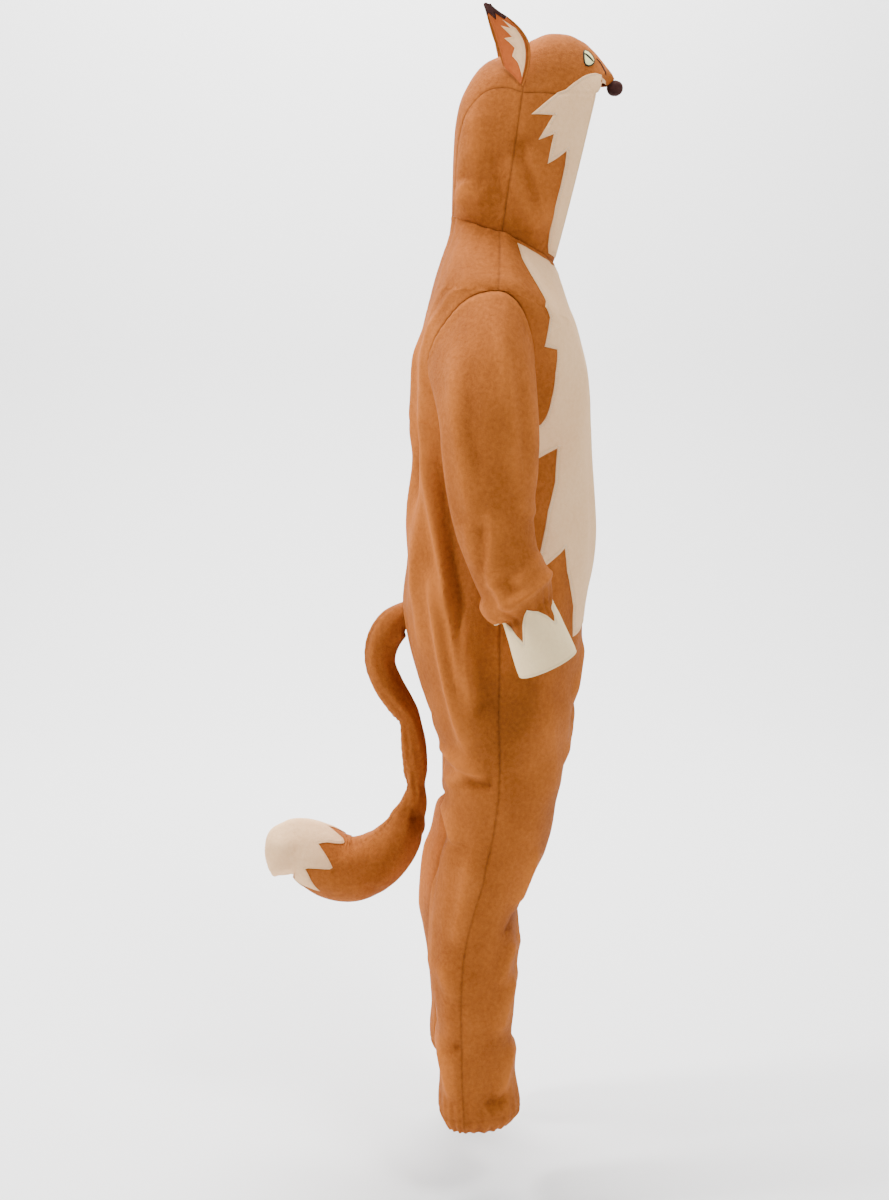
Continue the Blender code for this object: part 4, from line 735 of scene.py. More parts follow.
# Side view, outer face: width, height, then the path as y and z
SLEEVE_RIGHT = [
    (0.012, 0.0050, [(0.012, -0.070), (-0.004, -0.150), (-0.018, -0.240), (-0.024, -0.360)]),
    (0.010, -0.0030, [(-0.008, -0.090), (-0.030, -0.200), (-0.038, -0.330)]),
    (0.011, 0.0040, [(-0.034, -0.110), (-0.045, -0.230), (-0.050, -0.370)]),
    (0.014, 0.0060, [(0.066, -0.110), (0.066, -0.210), (0.050, -0.320), (0.030, -0.410)]),
    (0.010, -0.0040, [(0.046, -0.130), (0.044, -0.240), (0.024, -0.340)]),
    (0.007, 0.0060, [(0.016, -0.351), (0.012, -0.402), (0.014, -0.440), (0.016, -0.475)]),
    (0.007, 0.0040, [(0.051, -0.373), (0.044, -0.416), (0.031, -0.452)]),
    (0.008, -0.0040, [(0.028, -0.373), (0.025, -0.416), (0.024, -0.460)]),
    (0.008, 0.0040, [(-0.018, -0.344), (-0.035, -0.358), (-0.055, -0.376)]),
    (0.008, 0.0050, [(-0.064, -0.425), (-0.051, -0.440), (-0.030, -0.460), (-0.021, -0.478)]),
    (0.007, 0.0080, [(0.019, -0.458), (0.002, -0.475), (-0.007, -0.493), (-0.004, -0.508)]),
    (0.009, 0.0110, [(0.032, -0.504), (0.009, -0.515), (0.000, -0.536)]),
    (0.007, 0.0080, [(-0.001, -0.507), (-0.021, -0.495), (-0.045, -0.479), (-0.068, -0.464),
        (-0.091, -0.452)]),
    (0.006, -0.0025, [(-0.001, -0.537), (-0.019, -0.525), (-0.045, -0.511), (-0.071, -0.496),
        (-0.091, -0.487)]),
    (0.006, -0.0050, [(0.005, -0.460), (-0.013, -0.478), (-0.021, -0.490)]),
]
SLEEVE_LEFT = [
    (0.012, 0.0050, [(0.016, -0.075), (0.000, -0.160), (-0.012, -0.260), (-0.016, -0.370)]),
    (0.011, 0.0040, [(-0.030, -0.100), (-0.040, -0.220), (-0.048, -0.350)]),
    (0.010, -0.0035, [(-0.006, -0.110), (-0.026, -0.220), (-0.030, -0.320)]),
    (0.014, 0.0060, [(0.064, -0.120), (0.062, -0.230), (0.044, -0.340)]),
    (0.009, 0.0050, [(0.058, -0.360), (0.020, -0.390), (-0.026, -0.400)]),
    (0.008, -0.0040, [(0.052, -0.384), (0.016, -0.412), (-0.026, -0.424)]),
    (0.009, 0.0055, [(0.046, -0.434), (0.006, -0.452), (-0.048, -0.452)]),
    (0.009, 0.0075, [(0.014, -0.500), (-0.012, -0.492), (-0.042, -0.482), (-0.080, -0.470)]),
    (0.006, -0.0060, [(0.008, -0.516), (-0.018, -0.506), (-0.046, -0.498), (-0.078, -0.490)]),
]
WRIST_PINCHES, WRIST_DEPTH = 15, 0.0015
SLEEVE_STRENGTH = 1.15
print("arm of", len(ARM_TABLE), "ovals under a cap")


# %% The sleeve as a grid
def arm_points(lines, turn):
    """Tilted ovals: across by the cosine of the turn, behind by its sine, leaned forwards.
    Turn 0 is under the arm, 0.25 behind, 0.5 outside and 0.75 in front."""
    x, y, z, half_width, half_depth, tilt = lines.T[..., None]
    behind = half_depth * np.sin(2 * math.pi * turn)
    lean = np.radians(tilt)
    return np.stack([x - half_width * np.cos(2 * math.pi * turn), y + behind * np.cos(lean),
                     z - behind * np.sin(lean)], -1)


def sleeve_base(side):
    """The armhole's edge, then a cubic from it to the first oval, then the arm. The cubic
    leaves the shoulder at the cap's angle and arrives straight down."""
    flip = np.array([side, 1, 1])
    front, back = BODY[side, False][0] * flip, BODY[side, True][0] * flip
    edge = np.concatenate([back[YOKE + 1:YOKE + HOLE + 1, 0][::-1],
                           front[YOKE:YOKE + HOLE + 1, -1]])
    slope = math.radians(CAP_OUT)
    out = np.array([math.cos(slope), 0, -math.sin(slope)])
    edge = edge + out * TUBE_GAP
    turn = np.linspace(0, 1, len(edge))
    foot = arm_points(np.array(ARM_TABLE[:1]), turn)[0]
    reach = np.linalg.norm(foot - edge, axis=1)[None, :, None]
    t = np.linspace(0, 1, CAP + 1)[:-1, None, None]
    cap = (edge * (2 * t**3 - 3 * t**2 + 1) + foot * (3 * t**2 - 2 * t**3)
           + reach * out * (t**3 - 2 * t**2 + t) + reach * np.array([0, 0, -1]) * (t**3 - t**2))
    rows = np.linspace(0, len(ARM_TABLE) - 1, (len(ARM_TABLE) - 1) * PER_ROW + 1)
    return np.concatenate([cap, arm_points(spline(ARM_TABLE, rows), turn)])[:, :-1]


def sleeve_height(side, points, turn):
    """Side view folds on the outer face, and again, moved a little, on the inner one; the
    gathers above the cuff; low ripples; a valley at the armhole and under the arm."""
    table = SLEEVE_RIGHT if side < 0 else SLEEVE_LEFT
    outside = smooth((0.40 - np.abs(turn - 0.5)) / 0.14)
    inside = smooth((np.abs(turn - 0.5) - 0.26) / 0.12)
    view = points[..., 1:]
    height = all_folds(view, table, SLEEVE_STRENGTH) * outside
    height = height + all_folds(view + [0.012, 0.018], table) * inside * 0.8
    down = lengths(points, 0)
    row = (np.arange(len(points)) - CAP)[:, None] / PER_ROW
    bag = np.exp(-((row - 7.6) / 1.5) ** 2)
    pinch = np.cos(2 * math.pi * (WRIST_PINCHES * turn + 0.25 * np.sin(2 * math.pi * turn * 3)))
    height = height + WRIST_DEPTH * bag * pinch
    height = height + ripples(points[..., 2], turn * 0.36, 21 if side < 0 else 27, 0.17, 0.0010)
    height = height * smooth(down / 0.02) * smooth((10.1 - row) / 1.3)
    around = lengths(np.concatenate([points, points[:, :1]], axis=1), 1)
    beside = np.minimum(around[:, :-1], around[:, -1:] - around[:, :-1])
    seam = seam_of(np.minimum(down, beside))
    return height - SEAM_DEPTH * seam + 0.0022 * np.exp(-((down - 0.010) / 0.007) ** 2), seam


# %% Sleeves
SLEEVE = {}
TURN = np.linspace(0, 1, 2 * HOLE + 1)[:-1]
for side, hand in ((-1, "right"), (1, "left")):
    base = sleeve_base(side)
    away = outward(base, grid_normals(base, wrap=True))
    height, seam = sleeve_height(side, base, TURN)
    flip = np.array([side, 1, 1])
    outer = base + away * height[..., None]
    shell(f"sleeve_{hand}_cloth", outer * flip, (outer - away * WALL) * flip, ORANGE, wrap=True,
          seam=seam, crest=crest_of(height))
    SLEEVE[side] = (outer * flip, away * flip)
print("sleeve grid", SLEEVE[-1][0].shape)

# %% [markdown]
# Patches. The cream front, the cheek bands, the cuffs and the ears' colours are separate
# pieces of cloth laid on a panel and sewn down near their cut edge. Each is drawn as an
# outline on its panel's own rows and columns. The inside is filled with points at an even
# spacing and cut into triangles, and every point is then read from the panel and moved out,
# so that the patch follows each fold under it. Its edge is rounded and pulled down by the
# stitches.

# %% Outlines
def inside(outline, spots):
    """Which spots lie in a polygon: each edge that a level line from the spot crosses turns
    the answer over."""
    result = np.zeros(len(spots), bool)
    for (x0, y0), (x1, y1) in zip(outline, np.roll(outline, -1, axis=0)):
        if y0 != y1:
            at = x0 + (spots[:, 1] - y0) * (x1 - x0) / (y1 - y0)
            result ^= ((y0 > spots[:, 1]) != (y1 > spots[:, 1])) & (spots[:, 0] < at)
    return result


def from_outline(outline, spots):
    """Distance from each spot to the nearest edge of a polygon."""
    best = np.full(len(spots), 9.0)
    for start, end in zip(outline, np.roll(outline, -1, axis=0)):
        step = end - start
        share = np.clip((spots - start) @ step / max(step @ step, 1e-12), 0, 1)
        best = np.minimum(best, np.linalg.norm(spots - start - share[:, None] * step, axis=1))
    return best


def walk(path, spacing, closed=True):
    """Points at about a spacing along a path, with every corner kept."""
    ends = np.roll(path, -1, axis=0) if closed else path[1:]
    runs = []
    for start, end in zip(path, ends):
        count = max(1, round(float(np.linalg.norm(end - start)) / spacing))
        runs.append(start + (end - start) * np.linspace(0, 1, count + 1)[:-1, None])
    if not closed:
        runs.append(path[-1:])
    return np.concatenate(runs)


def inset(path, distance):
    """A closed path moved inwards: each corner goes along the middle of its two edges'
    normals, no further than three times the distance."""
    edges = np.roll(path, -1, axis=0) - path
    across = np.stack([-edges[:, 1], edges[:, 0]], 1)
    across /= np.maximum(np.linalg.norm(across, axis=1, keepdims=True), 1e-12)
    area = (path[:, 0] * np.roll(path[:, 1], -1) - path[:, 1] * np.roll(path[:, 0], -1)).sum()
    across *= 1 if area > 0 else -1
    both = across + np.roll(across, 1, axis=0)
    both /= np.maximum((both**2).sum(axis=1, keepdims=True) / 2, 2 / 9)
    return path + both * distance


# %% A patch laid on a panel
LAY_GAP, PATCH = 0.0004, 0.0012
EDGE_ROUND = 0.0016      # over this distance a cut edge falls to the panel
STITCH_IN = 0.0030       # the stitches run this far inside the edge


def cell_size(grid, outline):
    """Mean size of the grid's cells under an outline, down and across."""
    low = np.maximum(np.floor(outline.min(axis=0)).astype(int), 0)
    high = np.minimum(np.ceil(outline.max(axis=0)).astype(int) + 1, grid.shape[:2])
    part = grid[low[0]:high[0], low[1]:high[1]]
    return np.array([np.linalg.norm(np.diff(part, axis=0), axis=-1).mean(),
                     np.linalg.norm(np.diff(part, axis=1), axis=-1).mean()])


def patch_triangles(flat, spacing):
    """Points and triangles inside a flat outline: the edge, a few rows of points along it,
    and a staggered field between."""
    rim = walk(flat, min(spacing, 0.0016))
    parts = [rim]
    for depth in (EDGE_ROUND * 0.45, EDGE_ROUND, STITCH_IN * 0.75, STITCH_IN * 1.1):
        ring = walk(inset(flat, depth), min(spacing, 0.0018))
        good = inside(flat, ring) & (from_outline(flat, ring) > depth * 0.85)
        parts.append(ring[good])
    low, high = flat.min(axis=0), flat.max(axis=0)
    down, across = np.meshgrid(np.arange(low[0], high[0], spacing * 0.87),
                               np.arange(low[1], high[1], spacing), indexing="ij")
    across = across + spacing / 2 * (np.arange(len(down)) % 2)[:, None]
    field = np.stack([down.ravel(), across.ravel()], 1)
    field = field[inside(flat, field)]
    parts.append(field[from_outline(flat, field) > STITCH_IN * 1.1 + spacing * 0.5])
    spots = np.concatenate(parts)
    edges = np.stack([np.arange(len(rim)), np.roll(np.arange(len(rim)), -1)], 1)
    cut = delaunay_2d_cdt([Vector(spot) for spot in spots.tolist()], edges.tolist(), [], 0, 1e-7)
    places = np.array([tuple(spot) for spot in cut[0]])
    faces = np.array([face for face in cut[2] if len(face) == 3])
    faces = faces[inside(flat, places[faces].mean(axis=1))]
    used, index = np.unique(faces, return_inverse=True)
    return places[used], index.reshape(-1, 3)


def patch(name, panel, outline, low, high, finish, spacing=0.0030, marks=None):
    """A sheet cut to an outline and laid between two heights over a panel. The upper face
    falls in a quarter round at the edge, and dips along the line of stitches."""
    grid, normals = panel
    outline = np.asarray(outline, float)
    size = cell_size(grid, outline)
    flat, faces = patch_triangles(outline * size, spacing)
    spots = flat / size
    points, away = sample(grid, spots), sample(normals, spots)
    away /= np.linalg.norm(away, axis=1, keepdims=True)
    distance = from_outline(outline * size, flat)
    round_edge = 1 - np.sqrt(1 - np.clip(1 - distance / EDGE_ROUND, 0, 1) ** 2)
    dip = np.exp(-((distance - STITCH_IN) / 0.0009) ** 2)
    swell = smooth((distance - STITCH_IN) / 0.006)
    height = high - (high - low) * 0.75 * round_edge - 0.00035 * dip + 0.0004 * swell
    both = np.concatenate([points + away * height[:, None], points + away * low])
    count = len(points)
    edges = np.concatenate([faces[:, [0, 1]], faces[:, [1, 2]], faces[:, [2, 0]]])
    key, back = edges[:, 0] * count + edges[:, 1], edges[:, 1] * count + edges[:, 0]
    rim = edges[~np.isin(key, back)]
    rims = [np.stack([rim[:, 1], rim[:, 0], rim[:, 0] + count], 1),
            np.stack([rim[:, 1], rim[:, 0] + count, rim[:, 1] + count], 1)]
    faces = np.concatenate([faces, faces[:, ::-1] + count] + rims)
    # Values for painted shade along the stitch dip and the rounded cut edge, and a faint painted highlight
    # on the swell inside the stitches.
    values = {"seam": np.tile(0.55 * dip + 0.3 * round_edge, 2),
              "crest": np.concatenate([swell * 0.15, swell * 0])}
    if marks is not None:
        values["ink"] = np.tile(marks(points), 2)
    piece = put_mesh(name, both, faces, finish, values)
    piece["area"] = float(np.linalg.norm(np.cross(points[faces[:len(edges) // 3, 1]]
                          - points[faces[:len(edges) // 3, 0]],
                          points[faces[:len(edges) // 3, 2]]
                          - points[faces[:len(edges) // 3, 0]]), axis=1).sum() / 2)
    return piece


# %% [markdown]
# Stitches are short loops of thread that sink in at both ends. Each is a small spindle of
# six sides, and a row of them follows a patch's edge. Hundreds are needed, so each has only
# a few dozen faces.

# %% Stitches
THREAD = 0.00042         # half thickness
STITCH_LONG, STITCH_STEP = 0.0026, 0.0036


def stitches(name, panel, path, lift, finish):
    """Spindles along a path of rows and columns on a panel: rings along the stitch, thin at
    both ends, bowed up in the middle."""
    grid, normals = panel
    size = cell_size(grid, path)
    spots = walk(path * size, STITCH_STEP / 6, closed=False) / size
    line, away = sample(grid, spots), sample(normals, spots)
    walked = lengths(line[None], 1)[0]
    middle = np.arange(STITCH_STEP / 2, walked[-1] - STITCH_STEP / 2, STITCH_STEP)
    t = np.linspace(-1, 1, 5)
    at = middle[:, None] + t * STITCH_LONG / 2
    centre = np.stack([np.interp(at, walked, line[:, axis]) for axis in range(3)], -1)
    up = np.stack([np.interp(at, walked, away[:, axis]) for axis in range(3)], -1)
    up /= np.linalg.norm(up, axis=-1, keepdims=True)
    along = np.gradient(centre, axis=1)
    aside = np.cross(along, up)
    aside /= np.maximum(np.linalg.norm(aside, axis=-1, keepdims=True), 1e-12)
    thick = THREAD * np.sqrt(1.04 - t**2)[None, :, None, None]
    turn = np.linspace(0, 2 * math.pi, 7)[:-1]
    ring = up[:, :, None] * np.cos(turn)[:, None] + aside[:, :, None] * np.sin(turn)[:, None]
    bow = lift + THREAD * 0.5 * (1 - t**2)
    points = centre[:, :, None] + up[:, :, None] * bow[:, None, None] + ring * thick
    count = len(middle)
    start = (np.arange(count) * 30)[:, None, None]
    cell = np.arange(4)[:, None] * 6 + np.arange(6)
    after = np.arange(4)[:, None] * 6 + (np.arange(6) + 1) % 6
    faces = np.stack([start + cell, start + after, start + after + 6, start + cell + 6], -1)
    caps = np.array([[5, 4, 3, 2], [5, 2, 1, 0], [24, 25, 26, 27], [24, 27, 28, 29]])
    faces = np.concatenate([faces.reshape(-1, 4), (start + caps).reshape(-1, 4)])
    piece = put_mesh(name, points.reshape(-1, 3), faces, finish, {})
    print(name, count, "stitches")
    return piece


THREAD_CREAM = fleece("cream_thread", (0.70, 0.56, 0.40), (0.84, 0.72, 0.56), 1500, 0.1, 0.0001)
THREAD_BROWN = fleece("brown_thread", (0.035, 0.014, 0.010), (0.07, 0.03, 0.02), 1500, 0.1, 0.0001)

# %% [markdown]
# The cream front. Its edge has three long points on each side, cut so that they hang towards
# the back. Its foot reaches lowest at its outer corners.

# %% Belly patches
BELLY_EDGE = [
    (-0.0370, -0.0020), (-0.0600, -0.0420), (-0.0710, -0.0640), (-0.0770, -0.0890),
    (-0.0730, -0.1130), (-0.0690, -0.1320), (-0.0890, -0.1360), (-0.0870, -0.1700),
    (-0.0810, -0.2110), (-0.0730, -0.2390), (-0.0570, -0.3030), (-0.0920, -0.2860),
    (-0.0890, -0.3360), (-0.0780, -0.3820), (-0.0580, -0.4750), (-0.1050, -0.4400),
    (-0.1090, -0.4770), (-0.1150, -0.5050), (-0.1210, -0.5350), (-0.1210, -0.5840),
]
BELLY_FOOT_Z = -0.562
BELLY_TOP = 3.0          # grid row just under the neck seam
for side, hand in ((-1, "right"), (1, "left")):
    panel = BODY[side, False]
    edge = locate(panel[0], BELLY_EDGE)
    edge[0, 0] = max(edge[0, 0], BELLY_TOP + 1)
    foot = np.interp(-BELLY_FOOT_Z, -panel[0][:, 0, 2], np.arange(len(panel[0])))
    outline = np.concatenate([[(BELLY_TOP, 0.0), (BELLY_TOP, edge[0, 1])], edge, [(foot, 0.0)]])
    patch(f"belly_{hand}_cloth", panel, outline, LAY_GAP, LAY_GAP + PATCH, CREAM, 0.0040)
    size = cell_size(panel[0], outline)
    seam_line = inset(outline * size, STITCH_IN)[2:-1] / size
    stitches(f"belly_{hand}_stitches", panel, seam_line, LAY_GAP + PATCH - 0.0001, THREAD_CREAM)
print("belly patches to", BELLY_FOOT_Z)

# %% [markdown]
# The cuffs are a firmer cream fleece, laid over the sleeve's end. Their upper edge is a
# zigzag of five points, and their foot is cut straight.

# %% Cuffs
CUFF_FOOT = 10.93
# Turn round the wrist and row of the arm table for each corner
CUFF_POINTS = [
    (0.00, 9.10), (0.05, 7.60), (0.17, 9.20), (0.285, 7.15), (0.41, 9.25), (0.51, 6.90),
    (0.65, 8.90), (0.75, 7.20), (0.87, 9.10), (0.95, 7.60), (1.00, 9.10),
]
COLUMNS = 2 * HOLE
CUFF_SEAM = 0.004        # the two ends stop this share of a turn short of each other
for side, hand in ((-1, "right"), (1, "left")):
    grid, away = (np.concatenate([part, part[:, :1]], axis=1) for part in SLEEVE[side])
    corner = np.array([(CAP + row * PER_ROW, turn * COLUMNS) for turn, row in CUFF_POINTS])
    foot = CAP + CUFF_FOOT * PER_ROW
    outline = np.concatenate([corner, [(foot, COLUMNS), (foot, 0.0)]])
    outline[:, 1] = np.clip(outline[:, 1], CUFF_SEAM * COLUMNS, (1 - CUFF_SEAM) * COLUMNS)
    patch(f"cuff_{hand}_cloth", (grid, away), outline, LAY_GAP, LAY_GAP + PATCH, CUFF, 0.0028)
    size = cell_size(grid, outline)
    seam_line = inset(outline * size, STITCH_IN)[:-2] / size
    stitches(f"cuff_{hand}_stitches", (grid, away), seam_line, LAY_GAP + PATCH - 0.0001,
             THREAD_CREAM)
print("cuffs with", len(CUFF_POINTS) // 2, "points")

# %% [markdown]
# The hood. Each section is an arch that stands on the neck ring and rises to the crown. A
# seam runs over the head on each side of a centre strip, another one comes down from the ear
# to the neck, and in front of the ear the centre strip becomes the face and its snout.

# %% Hood tables
# Foot on the neck ring in degrees (90 nape, -90 front), crown y, crown z, half width,
# height of the arch's shoulder, share of the width kept at the crown, seam up the arch
NECK_ARCHES = [
    (40.0, 0.0680, 0.0665, 0.078, 0.55, 0.55, 0.72),
    (31.0, 0.0672, 0.1080, 0.085, 0.50, 0.55, 0.72),
    (23.0, 0.0655, 0.1600, 0.095, 0.50, 0.55, 0.72),
    (16.0, 0.0615, 0.2080, 0.102, 0.50, 0.56, 0.70),
    (10.0, 0.0500, 0.2500, 0.107, 0.52, 0.57, 0.67),
    (5.0, 0.0200, 0.2920, 0.110, 0.55, 0.58, 0.62),
    (1.0, -0.0180, 0.3095, 0.111, 0.58, 0.60, 0.57),
    (-2.0, -0.0500, 0.3265, 0.111, 0.58, 0.60, 0.50),
    (-22.0, -0.0800, 0.3375, 0.111, 0.57, 0.60, 0.49),
    (-43.0, -0.1100, 0.3370, 0.111, 0.56, 0.59, 0.50),
    (-65.0, -0.1380, 0.3240, 0.112, 0.56, 0.57, 0.54),
    (-88.0, -0.1630, 0.2980, 0.112, 0.56, 0.55, 0.62),
]
# foot x, foot y, foot z, crown y, crown z, half width, shoulder, share kept
SNOUT_ARCHES = [
    (0.0480, -0.1545, 0.2545, -0.1700, 0.2900, 0.050, 0.50, 0.55),
    (0.0400, -0.1592, 0.2615, -0.1752, 0.2845, 0.039, 0.50, 0.55),
    (0.0270, -0.1650, 0.2625, -0.1793, 0.2795, 0.027, 0.50, 0.55),
    (0.0120, -0.1712, 0.2600, -0.1835, 0.2715, 0.013, 0.50, 0.55),
]
EAR_ARCH = 7
HOOD_LAP = 0.0015        # the hood starts this far below the edge of the body's neck
REAR, FRONT, SNOUT, SIDE, TOP = 130, 90, 44, 64, 44
FACE_EDGE = len(NECK_ARCHES) - 1
# Side view: width, height, then the path as y and z
HOOD_FOLDS = [
    (0.010, 0.0040, [(0.062, 0.108), (0.044, 0.098), (0.016, 0.084)]),
    (0.010, -0.0030, [(0.060, 0.128), (0.042, 0.116), (0.014, 0.104)]),
    (0.009, 0.0035, [(0.066, 0.078), (0.052, 0.092), (0.046, 0.120)]),
    (0.013, 0.0065, [(-0.018, 0.165), (-0.030, 0.110), (-0.052, 0.050), (-0.068, 0.018)]),
    (0.011, -0.0050, [(-0.030, 0.190), (-0.044, 0.120), (-0.062, 0.060)]),
    (0.012, 0.0065, [(-0.046, 0.180), (-0.060, 0.110), (-0.076, 0.034)]),
    (0.012, -0.0030, [(0.006, 0.170), (-0.004, 0.110), (-0.012, 0.060)]),
    (0.016, 0.0030, [(0.040, 0.225), (0.036, 0.180), (0.044, 0.135)]),
    (0.012, 0.0028, [(-0.070, 0.300), (-0.095, 0.290), (-0.120, 0.272)]),
]
print(len(NECK_ARCHES), "arches of the hood and", len(SNOUT_ARCHES), "of the snout")


# %% Arches as cubic curves
def neck_point(degrees):
    """A point of the neck ring, lapped over the body's edge so that the seam stays shut."""
    ring = section(np.array(BODY_ROWS[:1]), np.radians(np.atleast_1d(degrees))[None])[0]
    return ring - [0, 0, HOOD_LAP]


def bezier(controls, t):
    """A cubic curve: each of four points counts by its own power of t and of 1 minus t."""
    t = t[None, :, None]
    a, b, c, d = (controls[:, None, place] for place in range(4))
    return (1 - t)**3 * a + 3 * (1 - t)**2 * t * b + 3 * (1 - t) * t**2 * c + t**3 * d


def arch_controls(foot, y, z, width, shoulder, kept):
    """Control points of an arch from its foot to the crown."""
    crown = np.array([0.0, y, z])
    low = foot + shoulder * (crown - foot)
    low[0] = width
    return np.array([foot, low, crown + [kept * width, 0, 0], crown])


def split(controls, t):
    """Cut a cubic at t by halving its control lines: seven points, the fourth shared."""
    a, b, c, d = controls
    ab, bc, cd = a + t * (b - a), b + t * (c - b), c + t * (d - c)
    abc, bcd = ab + t * (bc - ab), bc + t * (cd - bc)
    return np.array([a, ab, abc, abc + t * (bcd - abc), bcd, cd, d])


def hood_controls():
    """Seven control points for each arch: its side, the seam, and its top."""
    table = [split(arch_controls(neck_point(degrees)[0], y, z, width, shoulder, kept), seam)
             for degrees, y, z, width, shoulder, kept, seam in NECK_ARCHES]
    edge = table[-1][:3]
    for x, foot_y, foot_z, *rest in SNOUT_ARCHES:
        table.append(np.concatenate([edge, arch_controls(np.array([x, foot_y, foot_z]), *rest)]))
    return np.array(table).reshape(len(table), 21)


def hood_base(arches):
    """Half a hood: side columns up to the seam, then top columns to the crown. At the nape
    the arches give way to the neck ring itself."""
    controls = spline(hood_controls(), arches).reshape(-1, 7, 3)
    low, high = np.linspace(0, 1, SIDE + 1), np.linspace(0, 1, TOP + 1)
    points = np.concatenate([bezier(controls[:, :4], low), bezier(controls[:, 3:], high)[:, 1:]], 1)
    standing = arches <= FACE_EDGE
    feet = spline([row[:1] for row in NECK_ARCHES], arches[standing])[:, 0]
    points[standing, 0] = neck_point(feet)
    first, seam = NECK_ARCHES[0][0], NECK_ARCHES[0][-1]
    share = np.concatenate([low * seam, seam + high[1:] * (1 - seam)])
    ring = neck_point(first + (90 - first) * share)
    ring[-1, 0] = 0
    nape = (1 - smooth(arches))[:, None, None]
    return points + nape * (ring - points)


def mirrored(grid):
    """Both halves of a grid whose last column lies on the middle plane."""
    return np.concatenate([grid, grid[:, -2::-1] * np.array([-1, 1, 1])], axis=1)


# %% The hood's grid, normals and seams
ARCHES = np.concatenate([np.linspace(0, EAR_ARCH, REAR + 1),
                         np.linspace(EAR_ARCH, FACE_EDGE, FRONT + 1)[1:],
                         FACE_EDGE + np.linspace(0, len(SNOUT_ARCHES), SNOUT + 1)[1:]])
OPEN_ROW = REAR + FRONT  # the row on the edge of the face opening
hood = hood_base(ARCHES)
standing = outward(mirrored(hood[:OPEN_ROW + 1]), grid_normals(mirrored(hood[:OPEN_ROW + 1])))
over = grid_normals(mirrored(hood[:, SIDE:]))
over *= np.sign((over[:OPEN_ROW, :TOP + 1] * standing[:OPEN_ROW, SIDE:SIDE + TOP + 1]).sum())
hood_away = np.zeros_like(hood)
hood_away[:OPEN_ROW + 1] = standing[:, :SIDE + TOP + 1]
hood_away[OPEN_ROW + 1:, SIDE:] = over[OPEN_ROW + 1:, :TOP + 1]
blend_rows = smooth(np.linspace(1, 0, 12))[:, None, None]
last_rows = slice(OPEN_ROW - 11, OPEN_ROW + 1)
hood_away[last_rows, SIDE:] = (hood_away[last_rows, SIDE:] * blend_rows
                               + over[last_rows, :TOP + 1] * (1 - blend_rows))
hood_away[OPEN_ROW + 1:, :SIDE] = hood_away[OPEN_ROW, :SIDE]
hood_away[:, -1, 0] = 0
hood_away /= np.maximum(np.linalg.norm(hood_away, axis=-1, keepdims=True), 1e-12)
print("hood grid", hood.shape)


# %% Height of the hood's cloth
def hood_height(side):
    """Side folds on the flank, ripples, the neck valley, the valley along the strip's seam
    and the one below the ear, and a small wavy pucker along the strip's seam."""
    view = hood[..., 1:] + ([0, 0] if side < 0 else [0.006, -0.010])
    column = np.arange(SIDE + TOP + 1)[None]
    flank = smooth((SIDE + TOP * 0.5 - column) / (TOP * 0.9))
    height = all_folds(view, HOOD_FOLDS) * flank * (1 if side < 0 else 0.85)
    height = height + ripples(hood[..., 2], hood[..., 1], 33 if side < 0 else 35, 0.16, 0.0009)
    across = lengths(hood, 1)
    down = lengths(hood, 0)
    beside = np.abs(across - across[:, SIDE:SIDE + 1])
    along = np.abs(down - down[REAR:REAR + 1])
    along = np.where((column <= SIDE) | (np.abs(ARCHES[:, None] - EAR_ARCH) < 0.6), along, 9)
    neck = np.where(np.arange(len(hood))[:, None] <= OPEN_ROW, across, 9)
    seam = seam_of(np.minimum(np.minimum(beside, along), neck))
    calm = smooth(np.minimum(np.minimum(beside, neck) / 0.012, 1)) * smooth((down[-1:] - down) / 0.02)
    height = height * calm
    pucker = 0.0005 * np.sin(down * 2 * math.pi / 0.015) * np.exp(-(beside / 0.008) ** 2)
    opening = np.arange(len(hood))[:, None] >= OPEN_ROW
    return height + pucker * calm - SEAM_DEPTH * seam, np.where(opening & (column < SIDE), 0, seam)


HOOD, HOOD_VALUES = {}, {}
for side in (-1, 1):
    height, seam = hood_height(side)
    flip = np.array([side, 1, 1])
    HOOD[side] = ((hood + hood_away * height[..., None]) * flip, hood_away * flip)
    HOOD_VALUES[side] = (seam, crest_of(height))
print("hood heights done")


# %% Hood pieces
def pull_back(points, edge, axis):
    """Move a grid's first (0) or last (-1) row or column a hair towards the next, so that
    two pieces sewn together keep their gap."""
    points = np.moveaxis(points.copy(), axis, 0)
    step = points[1 if edge == 0 else -2] - points[edge]
    size = np.maximum(np.linalg.norm(step, axis=-1, keepdims=True), 1e-9)
    points[edge] += step / size * np.minimum(SEAM_GAP, size * 0.3)
    return np.moveaxis(points, 0, axis)


def both_halves(part, rows, columns):
    """The right and left halves of an array side by side, the middle column once."""
    right, left = part[-1][rows, columns], part[1][rows, columns]
    return np.concatenate([right, left[:, -2::-1]], axis=1)


